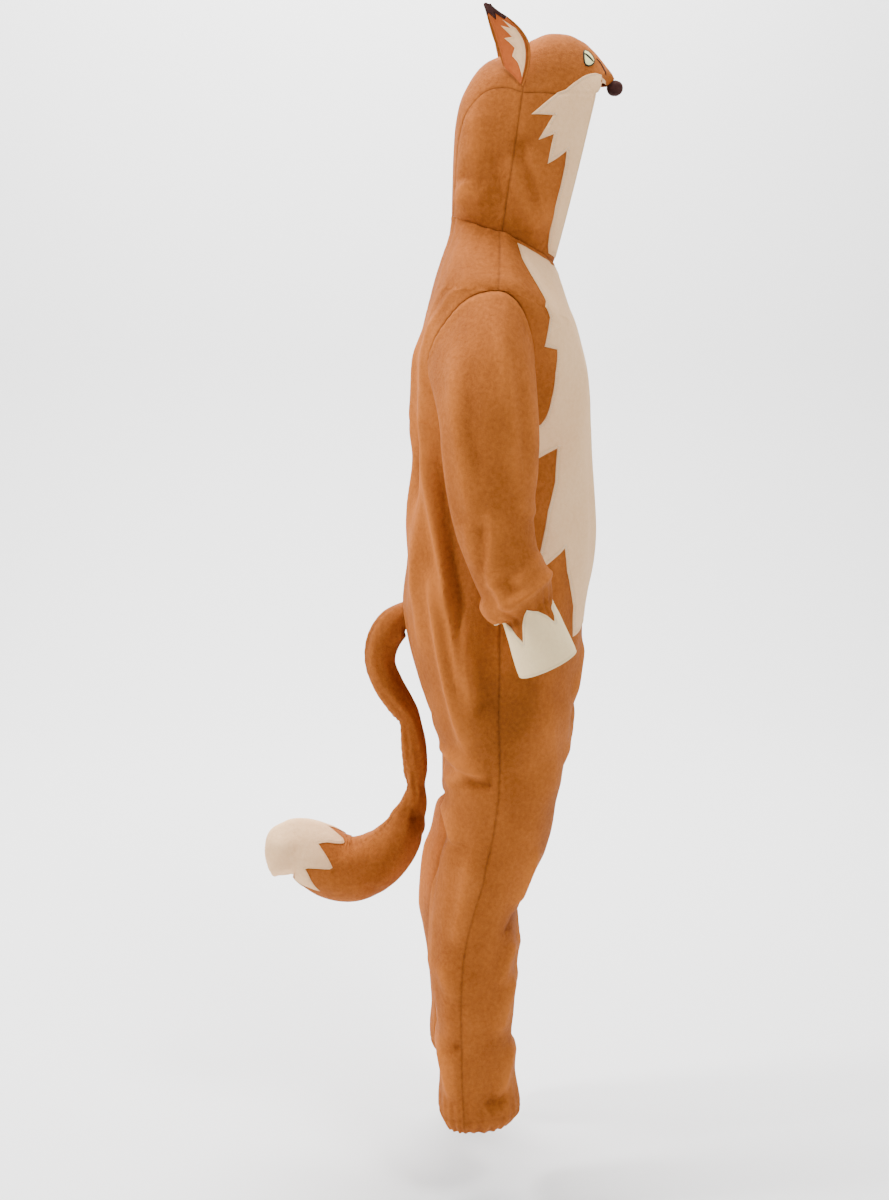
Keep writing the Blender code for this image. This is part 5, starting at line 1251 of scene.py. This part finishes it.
values = {side: np.stack(HOOD_VALUES[side], -1) for side in (-1, 1)}
for name, rows in (("hood_strip", slice(0, REAR + 1)), ("hood_face", slice(REAR, None))):
    columns = slice(SIDE, None)
    points = both_halves({side: HOOD[side][0] for side in (-1, 1)}, rows, columns)
    away = both_halves({side: HOOD[side][1] for side in (-1, 1)}, rows, columns)
    mark = both_halves(values, rows, columns)
    points = pull_back(pull_back(points, 0, 1), -1, 1)
    points = pull_back(points, -1 if name == "hood_strip" else 0, 0)
    shell(name + "_cloth", points, points - away * WALL, ORANGE, seam=mark[..., 0],
          crest=mark[..., 1])
for side, hand in ((-1, "right"), (1, "left")):
    for name, rows in (("hood_back", slice(0, REAR + 1)),
                       ("hood_front", slice(REAR, OPEN_ROW + 1))):
        points, away = (part[rows, :SIDE + 1] for part in HOOD[side])
        mark = values[side][rows, :SIDE + 1]
        points = pull_back(pull_back(points, -1, 1), -1 if name == "hood_back" else 0, 0)
        shell(f"{name}_{hand}_cloth", points, points - away * WALL, ORANGE, seam=mark[..., 0],
              crest=mark[..., 1])
print("hood pieces:", [name for name in PIECES if name.startswith("hood")])

# %% [markdown]
# The cheek bands are cream fleece. Each runs along the face opening from the neck to the
# snout, with three points that reach back over the cheek.

# %% Cheek bands
CHEEK_FROM, CHEEK_TO = 9.75, 14.6    # arches where the band starts and ends
CHEEK_RISE = 1.6         # grid columns by which the band clears the neck seam
CHEEK_EDGE = [
    (-0.1660, 0.2660), (-0.1590, 0.2730), (-0.1500, 0.2755), (-0.1410, 0.2740),
    (-0.1230, 0.2640), (-0.1030, 0.2490), (-0.0900, 0.2440), (-0.0510, 0.2120),
    (-0.0840, 0.2110), (-0.0620, 0.1740), (-0.0850, 0.1830), (-0.0760, 0.1390),
    (-0.1050, 0.1580), (-0.1030, 0.1370), (-0.0970, 0.1060), (-0.0890, 0.0750),
    (-0.0830, 0.0450), (-0.0800, 0.0190),
]


def fore_row(arch):
    """Row of the hood's front part for an arch number."""
    return float(np.interp(arch, ARCHES[REAR:], np.arange(len(ARCHES) - REAR)))


FORE = {side: tuple(part[REAR:] for part in HOOD[side]) for side in (-1, 1)}
for side, hand in ((-1, "right"), (1, "left")):
    panel = FORE[side]
    edge = locate(panel[0], CHEEK_EDGE)
    outline = np.concatenate([edge, [
        (fore_row(CHEEK_FROM), CHEEK_RISE), (FRONT, CHEEK_RISE), (FRONT, SIDE),
        (fore_row(CHEEK_TO), SIDE)]])
    patch(f"cheek_{hand}_cloth", panel, outline, LAY_GAP, LAY_GAP + PATCH, CREAM, 0.0026)
    size = cell_size(panel[0], outline)
    seam_line = inset(outline * size, STITCH_IN)[:len(edge)] / size
    stitches(f"cheek_{hand}_stitches", panel, seam_line, LAY_GAP + PATCH - 0.0001, THREAD_CREAM)
print("cheek bands with", len(CHEEK_EDGE), "corners")

# %% [markdown]
# The eyes are flat felt. Each is a rounded drop with a dark rim and one slanted dark slit,
# which are worked in thread on the real piece. Here the rim and the slit are a value on the
# patch's own fine points, and the felt mixes its two colours by it.

# %% Eye felt
eye_felt = fleece("felt_of_the_eyes", (0.74, 0.72, 0.30), (0.88, 0.86, 0.46), 900, 0.15, 0.0002, 0.1)
eye_tree = eye_felt.node_tree
ink_mark = eye_tree.nodes.new("ShaderNodeAttribute")
ink_mark.attribute_name = "ink"
nap_node = next(node for node in eye_tree.nodes if node.type == "GROUP")
eye_shader = eye_tree.nodes["Principled BSDF"]
eye_tree.links.new(mixed(eye_tree, ink_mark.outputs["Fac"], nap_node.outputs["Color"],
                         (0.012, 0.010, 0.010, 1)), eye_shader.inputs["Base Color"])

# %% Eyes
EYE_OUTLINE = [          # side view: y, z
    (-0.1350, 0.3112), (-0.1395, 0.3098), (-0.1440, 0.3058), (-0.1478, 0.3005),
    (-0.1496, 0.2955), (-0.1482, 0.2905), (-0.1445, 0.2868), (-0.1390, 0.2848),
    (-0.1342, 0.2862), (-0.1318, 0.2905), (-0.1312, 0.2960), (-0.1310, 0.3020),
    (-0.1312, 0.3075), (-0.1325, 0.3105),
]
SLIT = ((-0.1334, 0.3045), (-0.1464, 0.2928))
SLIT_HALF, RIM_WIDTH = 0.0019, 0.0019


def eye_ink(points):
    """1 on the rim and on the slit, 0 elsewhere: each fades over a third of a millimetre."""
    view = points[:, 1:]
    rim = from_outline(np.array(EYE_OUTLINE), view)
    start, end = np.array(SLIT)
    step = end - start
    share = np.clip((view - start) @ step / (step @ step), 0, 1)
    off = np.linalg.norm(view - start - share[:, None] * step, axis=1)
    half = SLIT_HALF * (1 - 0.5 * (2 * share - 1) ** 4)
    return np.maximum(smooth((RIM_WIDTH - rim) / 0.0003), smooth((half - off) / 0.0003))


for side, hand in ((-1, "right"), (1, "left")):
    edge = locate(FORE[side][0], walk(np.array(EYE_OUTLINE), 0.003))
    patch(f"eye_{hand}_cloth", FORE[side], edge, LAY_GAP, LAY_GAP + PATCH, eye_felt, 0.0006,
          marks=eye_ink)
print("two eyes")

# %% [markdown]
# A thin line of dark thread runs from each eye down to the nose. It is a satin stitch, so it
# is a narrow rounded bead that lies on the face.

# %% Brow lines
BROW = [(-0.1520, 0.2990), (-0.1582, 0.2930), (-0.1618, 0.2872), (-0.1650, 0.2800),
        (-0.1668, 0.2735)]
BROW_HALF = 0.0014


def bead(name, panel, path, half, lift, finish):
    """A tube along a path on a panel: a ring of ten points across the path at each step,
    thinner towards both ends."""
    grid, normals = panel
    line, away = sample(grid, path), sample(normals, path)
    line = line + away * lift
    along = np.gradient(line, axis=0)
    aside = np.cross(along, away)
    aside /= np.linalg.norm(aside, axis=1, keepdims=True)
    t = np.linspace(-1, 1, len(path))
    thick = half * np.sqrt(1.02 - t**4)[:, None, None]
    turn = np.linspace(0, 2 * math.pi, 11)[:-1]
    ring = away[:, None] * np.cos(turn)[:, None] * 0.6 + aside[:, None] * np.sin(turn)[:, None]
    return closed_tube(name, line[:, None] + ring * thick, finish)


def closed_tube(name, rings, finish, seam=0.0, crest=0.0):
    """Rings joined in order, with both ends closed to a point at their middle."""
    count, sides = rings.shape[:2]
    index = np.arange(count * sides).reshape(count, sides)
    after = np.roll(index, -1, axis=1)
    cells = np.stack([index[:-1], after[:-1], after[1:], index[1:]], -1).reshape(-1, 4)
    total = count * sides
    first = np.stack([after[0], index[0], np.full(sides, total)], -1)
    last = np.stack([index[-1], after[-1], np.full(sides, total + 1)], -1)
    points = np.concatenate([rings.reshape(-1, 3), rings[:1].mean(axis=1), rings[-1:].mean(axis=1)])
    triangles = np.concatenate([cells[:, [0, 1, 2]], cells[:, [0, 2, 3]], first, last])
    marks = [np.concatenate([np.broadcast_to(value, (count, sides)).ravel(), [0, 0]])
             for value in (seam, crest)]
    return put_mesh(name, points, triangles, finish, {"seam": marks[0], "crest": marks[1]})


for side, hand in ((-1, "right"), (1, "left")):
    path = locate(FORE[side][0], walk(spline(BROW, np.linspace(0, len(BROW) - 1, 13)), 0.01, False))
    path = spline(path, np.linspace(0, len(path) - 1, 60))
    bead(f"brow_{hand}", FORE[side], path, BROW_HALF, 0.0005, THREAD_BROWN)
print("two brow lines")

# %% [markdown]
# An ear is two leaves of fleece sewn along their edge and turned, so its back leaf shows as
# a soft rolled rim round the redder front. A dark jagged piece covers the tip, and a cream
# flash lies along the front edge. All of them follow one bowl-shaped surface.

# %% Ear tables
# Side view: rear y, rear z, front y, front z, hollow of the bowl
EAR_ROWS = [
    (-0.0100, 0.2860, -0.0390, 0.2530, 0.0040),
    (0.0000, 0.3100, -0.0485, 0.2860, 0.0080),
    (0.0075, 0.3290, -0.0480, 0.3140, 0.0085),
    (0.0125, 0.3440, -0.0360, 0.3350, 0.0070),
    (0.0165, 0.3580, -0.0160, 0.3530, 0.0040),
    (0.0195, 0.3690, 0.0060, 0.3660, 0.0015),
    (0.0208, 0.3730, 0.0110, 0.3722, 0.0005),
]
EAR_LEAN, EAR_STAND, EAR_BACK, EAR_FRONT = 0.010, 0.0010, 0.0016, 0.0010
EAR_FORWARD = {-1: 0.0, 1: 0.014}    # how far the right and the left tip lean forwards
EAR_UP, EAR_ACROSS = 120, 60
EAR_TIP_GAP, EAR_MARGIN = 0.002, 0.10
EAR_TIP_EDGE = [(0.0, 3.90), (0.16, 4.25), (0.33, 3.60), (0.52, 4.30), (0.70, 3.75), (1.0, 4.10)]
EAR_FLASH = [
    (0.88, 0.35), (0.88, 1.60), (0.86, 3.10), (0.62, 3.75), (0.68, 3.05), (0.40, 3.15),
    (0.58, 2.30), (0.34, 2.05), (0.58, 1.55), (0.48, 1.00), (0.66, 0.80),
]


# %% The ear's surface
def ear_surface():
    """Rows run up and columns from rear to front. The view from the side is straight
    between the two edges; outwards the surface is hollow by a parabola across, and leans
    from the hood's side at its foot to further out at its tip."""
    up = np.linspace(0, len(EAR_ROWS) - 1, EAR_UP + 1)
    line = spline(EAR_ROWS, up)
    across = np.linspace(0, 1, EAR_ACROSS + 1)
    view = line[:, None, 0:2] + (line[:, None, 2:4] - line[:, None, 0:2]) * across[:, None]
    foot = sample(hood, locate(hood, view[0, ::6]))[:, 0]
    foot = np.interp(across, across[::6], foot)
    stand = foot + EAR_STAND + EAR_BACK
    cup = 1 - (2 * across - 1) ** 2
    rise = (up / up[-1])[:, None]
    x = stand + (stand.mean() + EAR_LEAN - stand) * rise + (EAR_ROWS[0][4] - line[:, 4:5]) * cup
    return np.concatenate([x[..., None], view], axis=-1)


EAR = ear_surface()
ear_away = grid_normals(EAR)
ear_away *= np.sign(ear_away[..., 0].sum())
roll = np.exp(-(np.minimum(np.linspace(0, 1, EAR_ACROSS + 1), np.linspace(1, 0, EAR_ACROSS + 1))
                / 0.05) ** 2)
EAR = EAR + ear_away * (0.0012 * roll)[:, None]
print("ear", EAR.shape)

# %% Ears
UP_SCALE = EAR_UP / (len(EAR_ROWS) - 1)


def ear_outline(corners):
    """Corners given as row and share across, turned into the fine grid's rows and columns."""
    return np.array([(up * UP_SCALE, share * EAR_ACROSS) for share, up in corners])


tip_edge = ear_outline(EAR_TIP_EDGE)
gap = np.array([EAR_TIP_GAP * UP_SCALE, 0])
main = np.concatenate([[(0, 0)], tip_edge - gap, [(0, EAR_ACROSS)]])
tip = np.concatenate([tip_edge + gap, [(EAR_UP, EAR_ACROSS), (EAR_UP, 0)]])
margins = np.array([EAR_MARGIN, 1 - EAR_MARGIN]) * EAR_ACROSS
ends = np.stack([np.interp(margins, tip_edge[:, 1], tip_edge[:, 0]), margins], 1)
front = np.concatenate([[(0, margins[0])], ends[:1] - gap, tip_edge[1:-1] - gap,
                        ends[1:] - gap, [(0, margins[1])]])
for side, hand in ((-1, "right"), (1, "left")):
    flip = np.array([side, 1, 1])
    rise = np.linspace(0, 1, EAR_UP + 1)[:, None]
    bent = EAR * flip
    bent[..., 1] -= EAR_FORWARD[side] * rise * (2 - rise)
    panel = (bent, ear_away * flip)
    base = 2 * LAY_GAP + EAR_FRONT
    patch(f"ear_back_{hand}_cloth", panel, main, -EAR_BACK, 0, ORANGE, 0.0022)
    patch(f"ear_front_{hand}_cloth", panel, front, LAY_GAP, LAY_GAP + EAR_FRONT, DEEP, 0.0022)
    patch(f"ear_tip_{hand}_cloth", panel, tip, -EAR_BACK, LAY_GAP + EAR_FRONT, DARK, 0.0018)
    patch(f"ear_flash_{hand}_cloth", panel, ear_outline(EAR_FLASH), base, base + PATCH, CREAM,
          0.0020)
print("ear pieces:", sum(name.startswith("ear") for name in PIECES))

# %% [markdown]
# The nose is a small stuffed ball of dark felt. It is gathered at the back, where it is sewn
# to the snout, so it has faint creases that run together there.

# %% Nose
NOSE_CENTRE = np.array([0.0, -0.1840, 0.2580])
NOSE_SIZE = np.array([0.0135, 0.0125, 0.0118])
NOSE_ROUND = 0.92
latitude = np.radians(np.linspace(-86, 86, 44))[:, None]
turn = np.linspace(0, 2 * math.pi, 65)[:-1][None]
ring = power(np.cos(latitude), NOSE_ROUND)
ball = np.stack(np.broadcast_arrays(ring * power(np.cos(turn), NOSE_ROUND),
                                    ring * power(np.sin(turn), NOSE_ROUND),
                                    power(np.sin(latitude), NOSE_ROUND)), -1)
dent = 1 + 0.025 * np.sin(9 * turn + 2 * np.sin(latitude * 3)) * smooth(ball[..., 1]) \
    + 0.02 * np.sin(3 * turn + 1.0) * np.cos(latitude * 2)
closed_tube("nose_cloth", NOSE_CENTRE + ball * dent[..., None] * NOSE_SIZE, DARK)
print("nose", NOSE_SIZE * 2)

# %% [markdown]
# The tail is a stuffed tube. It bends away from the seat, hangs down thin, is pinched twice
# where the stuffing has shifted, and swells into a heavy end that curls back and up to a
# drooping point. A seam runs along its outer edge.

# %% Tail table
# Side view, from the root to the end: y, z, radius
TAIL_ROWS = [
    (0.1405, -0.5735, 0.0262), (0.1640, -0.5900, 0.0285), (0.1815, -0.6190, 0.0271),
    (0.1857, -0.6539, 0.0250), (0.1728, -0.6894, 0.0246), (0.1531, -0.7217, 0.0225),
    (0.1370, -0.7489, 0.0190), (0.1294, -0.7934, 0.0200), (0.1262, -0.8330, 0.0187),
    (0.1263, -0.8624, 0.0178), (0.1290, -0.8870, 0.0215), (0.1370, -0.9140, 0.0290),
    (0.1490, -0.9430, 0.0370), (0.1690, -0.9710, 0.0440), (0.1970, -0.9950, 0.0500),
    (0.2300, -1.0080, 0.0555), (0.2640, -1.0030, 0.0565), (0.2940, -0.9850, 0.0550),
    (0.3200, -0.9720, 0.0500), (0.3400, -0.9735, 0.0450), (0.3560, -0.9790, 0.0395),
    (0.3655, -0.9865, 0.0325), (0.3700, -0.9950, 0.0255), (0.3710, -1.0040, 0.0175),
    (0.3700, -1.0120, 0.0080),
]
TAIL_GAP = 0.0009
TAIL_RINGS, TAIL_SIDES = 336, 76
TIP_SLOPE = -0.38        # radians; the last rings tip down no further than this
TAIL_PINCHES = [(8.95, 0.55, 0.0030), (10.6, 0.45, 0.0026), (6.2, 0.50, 0.0022)]
TAIL_SEAM_TURN = 0.93    # of the way round, close to the outer edge
# Side view: width, height, then the path as y and z
TAIL_FOLDS = [
    (0.006, 0.0030, [(0.155, -0.742), (0.148, -0.780), (0.146, -0.830), (0.142, -0.868)]),
    (0.005, -0.0030, [(0.148, -0.742), (0.140, -0.790), (0.139, -0.850)]),
    (0.007, -0.0030, [(0.109, -0.905), (0.122, -0.912), (0.140, -0.908)]),
    (0.007, -0.0030, [(0.100, -0.945), (0.112, -0.950), (0.128, -0.944)]),
    (0.009, -0.0028, [(0.180, -1.035), (0.196, -1.030), (0.212, -1.018)]),
    (0.010, 0.0030, [(0.150, -0.905), (0.170, -0.935), (0.200, -0.958)]),
    (0.010, -0.0025, [(0.168, -0.905), (0.186, -0.930), (0.215, -0.946)]),
    (0.009, -0.0030, [(0.345, -1.000), (0.330, -1.012), (0.312, -1.016)]),
    (0.010, 0.0030, [(0.365, -0.945), (0.350, -0.960), (0.344, -0.985)]),
    (0.008, -0.0025, [(0.330, -0.925), (0.322, -0.950), (0.326, -0.975)]),
]
print("tail of", len(TAIL_ROWS), "rows")


# %% Tail surface
def tail_surface():
    """Rings across the path: over by the cosine of the turn, to the side by its sine. The
    last rings don't tip any further, so they stay clear of each other below."""
    rows = np.linspace(0, len(TAIL_ROWS) - 1, TAIL_RINGS + 1)
    line = spline(TAIL_ROWS, rows)
    step = np.gradient(line[:, :2], axis=0)
    slope = np.arctan2(step[:, 1], step[:, 0])
    slope = np.where(rows > 17, np.maximum(slope, TIP_SLOPE), slope)
    step = np.stack([np.cos(slope), np.sin(slope)], -1)
    turn = np.linspace(0, 1, TAIL_SIDES + 1)[:-1]
    over = line[:, 2:3] * np.cos(2 * math.pi * turn)
    across = line[:, 2:3] * np.sin(2 * math.pi * turn)
    rings = np.stack([across, line[:, 0:1] - step[:, 1:2] * over,
                      line[:, 1:2] + step[:, 0:1] * over], -1)
    return rows, turn, rings


def seat_depth(places):
    """Depth of the cloth of the seat behind places across and up."""
    depth = np.zeros(len(places))
    for side in (-1, 1):
        grid = BODY[side, True][0]
        chosen = (places[:, 0] >= 0) == (side > 0)
        if chosen.any():
            depth[chosen] = sample(grid, locate(grid, places[chosen][:, [0, 2]], (0, 2)))[:, 1]
    return depth


rows, turn, rings = tail_surface()
away = outward(rings, grid_normals(rings, wrap=True))
centre = rings.mean(axis=1, keepdims=True)
away *= np.sign(((rings - centre) * away).sum(axis=(1, 2), keepdims=True))
height = all_folds(rings[..., 1:], TAIL_FOLDS)
for row, width, depth in TAIL_PINCHES:
    wave = row + 0.12 * np.sin(2 * math.pi * turn + row)
    height = height - depth * np.exp(-((rows[:, None] - wave) / width) ** 2) \
        * (0.7 + 0.3 * np.cos(2 * math.pi * (turn * 2 + row)))
height = height + ripples(rows[:, None] * 0.05, turn * 0.25, 41, 0.12, 0.0012)
off_seam = np.abs((turn - TAIL_SEAM_TURN + 0.5) % 1 - 0.5) * 2 * math.pi \
    * spline(TAIL_ROWS, rows)[:, 2:3]
seam = seam_of(off_seam) * (rows[:, None] > 0.5)
pucker = 0.0008 * np.sin(rows[:, None] * 18) * np.exp(-(off_seam / 0.008) ** 2)
calm = smooth(rows / 0.8)[:, None] * smooth((rows[-1] - rows) / 1.0)[:, None]
height = (height + pucker) * calm - 0.0010 * seam * calm
tail_rings = rings + away * height[..., None]
first = tail_rings[0].copy()
first[:, 1] = seat_depth(first) + TAIL_GAP
ease = smooth((1.0 - rows) / 1.0)[:, None, None]
tail_rings = tail_rings + ease * (first - tail_rings[0])
middle = (first + first.mean(axis=0)) / 2
middle[:, 1] = seat_depth(middle) + TAIL_GAP
closed_tube("tail_cloth", np.concatenate([[middle], tail_rings]), ORANGE,
            seam=np.concatenate([seam[:1], seam]),
            crest=np.concatenate([crest_of(height)[:1], crest_of(height)]))
print("tail rings", tail_rings.shape)

# %% [markdown]
# The tail's cream tip is drawn over its end like a sock, with seven points.

# %% Tail tip
TAIL_TIP_FROM, TAIL_TIP_POINTS, TAIL_TIP_REACH = 17.4, 7, 1.25
per_row = TAIL_RINGS / (len(TAIL_ROWS) - 1)
end = np.broadcast_to(tail_rings[-1:].mean(axis=1, keepdims=True), tail_rings[-1:].shape)
grid = np.concatenate([tail_rings, end])
tip_away = np.concatenate([away, away[-1:]])
tip_away[-1] = (tail_rings[-1].mean(axis=0) - tail_rings[-4].mean(axis=0))
tip_away[-1] /= np.linalg.norm(tip_away[-1], axis=-1, keepdims=True)
corner = np.arange(TAIL_SIDES + 1) / TAIL_SIDES * 2 * TAIL_TIP_POINTS
zigzag = 2 * np.abs(corner / 2 - np.round(corner / 2))
start = (TAIL_TIP_FROM - TAIL_TIP_REACH * zigzag) * per_row
share = np.concatenate([[0, 0.003, 0.006, 0.010, 0.014, 0.018], np.linspace(0.024, 1, 70)])
spots = start[None] + (len(grid) - 1 - start)[None] * share[:, None]
column = np.broadcast_to(np.arange(TAIL_SIDES + 1) % TAIL_SIDES, spots.shape)
base = np.array([sample(np.concatenate([grid, grid[:, :1]], axis=1),
                        np.stack([line, turns.astype(float)], 1))
                 for line, turns in zip(spots, column)])
lift = np.array([sample(np.concatenate([tip_away, tip_away[:, :1]], axis=1),
                        np.stack([line, turns.astype(float)], 1))
                 for line, turns in zip(spots, column)])
edge = share[:, None] * (len(grid) - 1 - start)[None] / per_row * 0.024
round_edge = 1 - np.sqrt(1 - np.clip(1 - edge / EDGE_ROUND, 0, 1) ** 2)
dip = np.exp(-((edge - STITCH_IN) / 0.0009) ** 2)
height = LAY_GAP + PATCH - PATCH * 0.75 * round_edge - 0.00035 * dip
outer = (base + lift * height[..., None])[:, :-1]
inner = (base + lift * LAY_GAP)[:, :-1]
# Painted shade along the tip's stitch dip and rounded edge, as on the patches.
shell("tail_tip_cloth", outer, inner, CREAM, wrap=True,
      seam=(0.55 * dip + 0.3 * round_edge)[:, :-1])
print("tail tip", outer.shape)

# %% [markdown]
# Behind the centre front lie the two tapes of the concealed closure, a plain woven strip on
# each side. They follow the front's inner face.

# %% Closure tapes
TAPE_WALL, TAPE_COLUMNS, TAPE_FOOT_Z = 0.0010, 5, -0.60
tape_cloth = fleece("closure_tape", (0.40, 0.15, 0.04), (0.50, 0.20, 0.065), 1600, 0.1, 0.0002, 0.0)
for side, hand in ((-1, "right"), (1, "left")):
    grid, away = BODY[side, False]
    last = int(np.argmax(grid[:, 0, 2] < TAPE_FOOT_Z))
    part, out = (item[int(BELLY_TOP):last, :TAPE_COLUMNS + 1] for item in (grid, away))
    behind = part - out * (WALL + LAY_GAP)
    shell(f"zip_tape_{hand}_cloth", behind, behind - out * TAPE_WALL, tape_cloth)
print("closure tapes to", TAPE_FOOT_Z)

# %% [markdown]
# Last, every piece rides on the one body, and the imported node of the same name is hidden.
# A table gives each cloth the size of its flat cut: the widest row of its grid, the longest
# column and the area. A sleeve's cut goes all round. The loop below only looks each piece up in it.


for name, piece in PIECES.items():
    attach(piece, "root")
    node = name.replace("_cloth", "")
    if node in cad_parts:
        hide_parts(node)
shown = [name.replace("_cloth", "") for name in PIECES]
print("nodes still shown:", sorted(set(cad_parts) - set(shown)))

# %% Cloth and stuffing
# Flat cut: width, length and area in metres, how it is held, and what it is sewn to
CUTS = {
    "front": (0.40, 1.42, 0.378, "hung", "hood_face"),
    "back": (0.34, 1.47, 0.339, "hung", "hood_strip"),
    "sleeve": (0.44, 0.56, 0.184, "hung", "front"),
    "cuff": (0.29, 0.12, 0.021, "laid", "sleeve"),
    "belly": (0.21, 0.60, 0.104, "laid", "front"),
    "zip_tape": (0.012, 0.64, 0.0068, "laid", "front"),
    "hood_strip": (0.17, 0.40, 0.035, "stretched", "hood_back_right"),
    "hood_back": (0.14, 0.26, 0.021, "hung", "back"),
    "hood_front": (0.15, 0.28, 0.027, "hung", "front"),
    "hood_face": (0.26, 0.25, 0.032, "stretched", "hood_front_right"),
    "cheek": (0.13, 0.28, 0.013, "laid", "hood_front"),
    "eye": (0.022, 0.034, 0.0005, "laid", "hood_face"),
    "ear_back": (0.055, 0.11, 0.0045, "stretched", "hood_front"),
    "ear_front": (0.050, 0.10, 0.0035, "laid", "ear_back"),
    "ear_tip": (0.036, 0.036, 0.0005, "stretched", "ear_back"),
    "ear_flash": (0.030, 0.085, 0.0013, "laid", "ear_front"),
    "tail_tip": (0.36, 0.15, 0.035, "stretched", "tail"),
}
PADDED = {"tail": 0.8, "nose": 0.9}
for name, piece in PIECES.items():
    part, _, hand = name.removesuffix("_cloth").rpartition("_")
    if not name.endswith("_cloth"):
        continue
    key = part if hand in ("right", "left") else name.removesuffix("_cloth")
    if key in PADDED:
        continue
    width, length, area, held, under = CUTS[key]
    if hand in ("right", "left") and f"{under}_{hand}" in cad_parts:
        under = f"{under}_{hand}"
print("declared", len(CUTS), "kinds of cloth and", len(PADDED), "stuffed pieces")
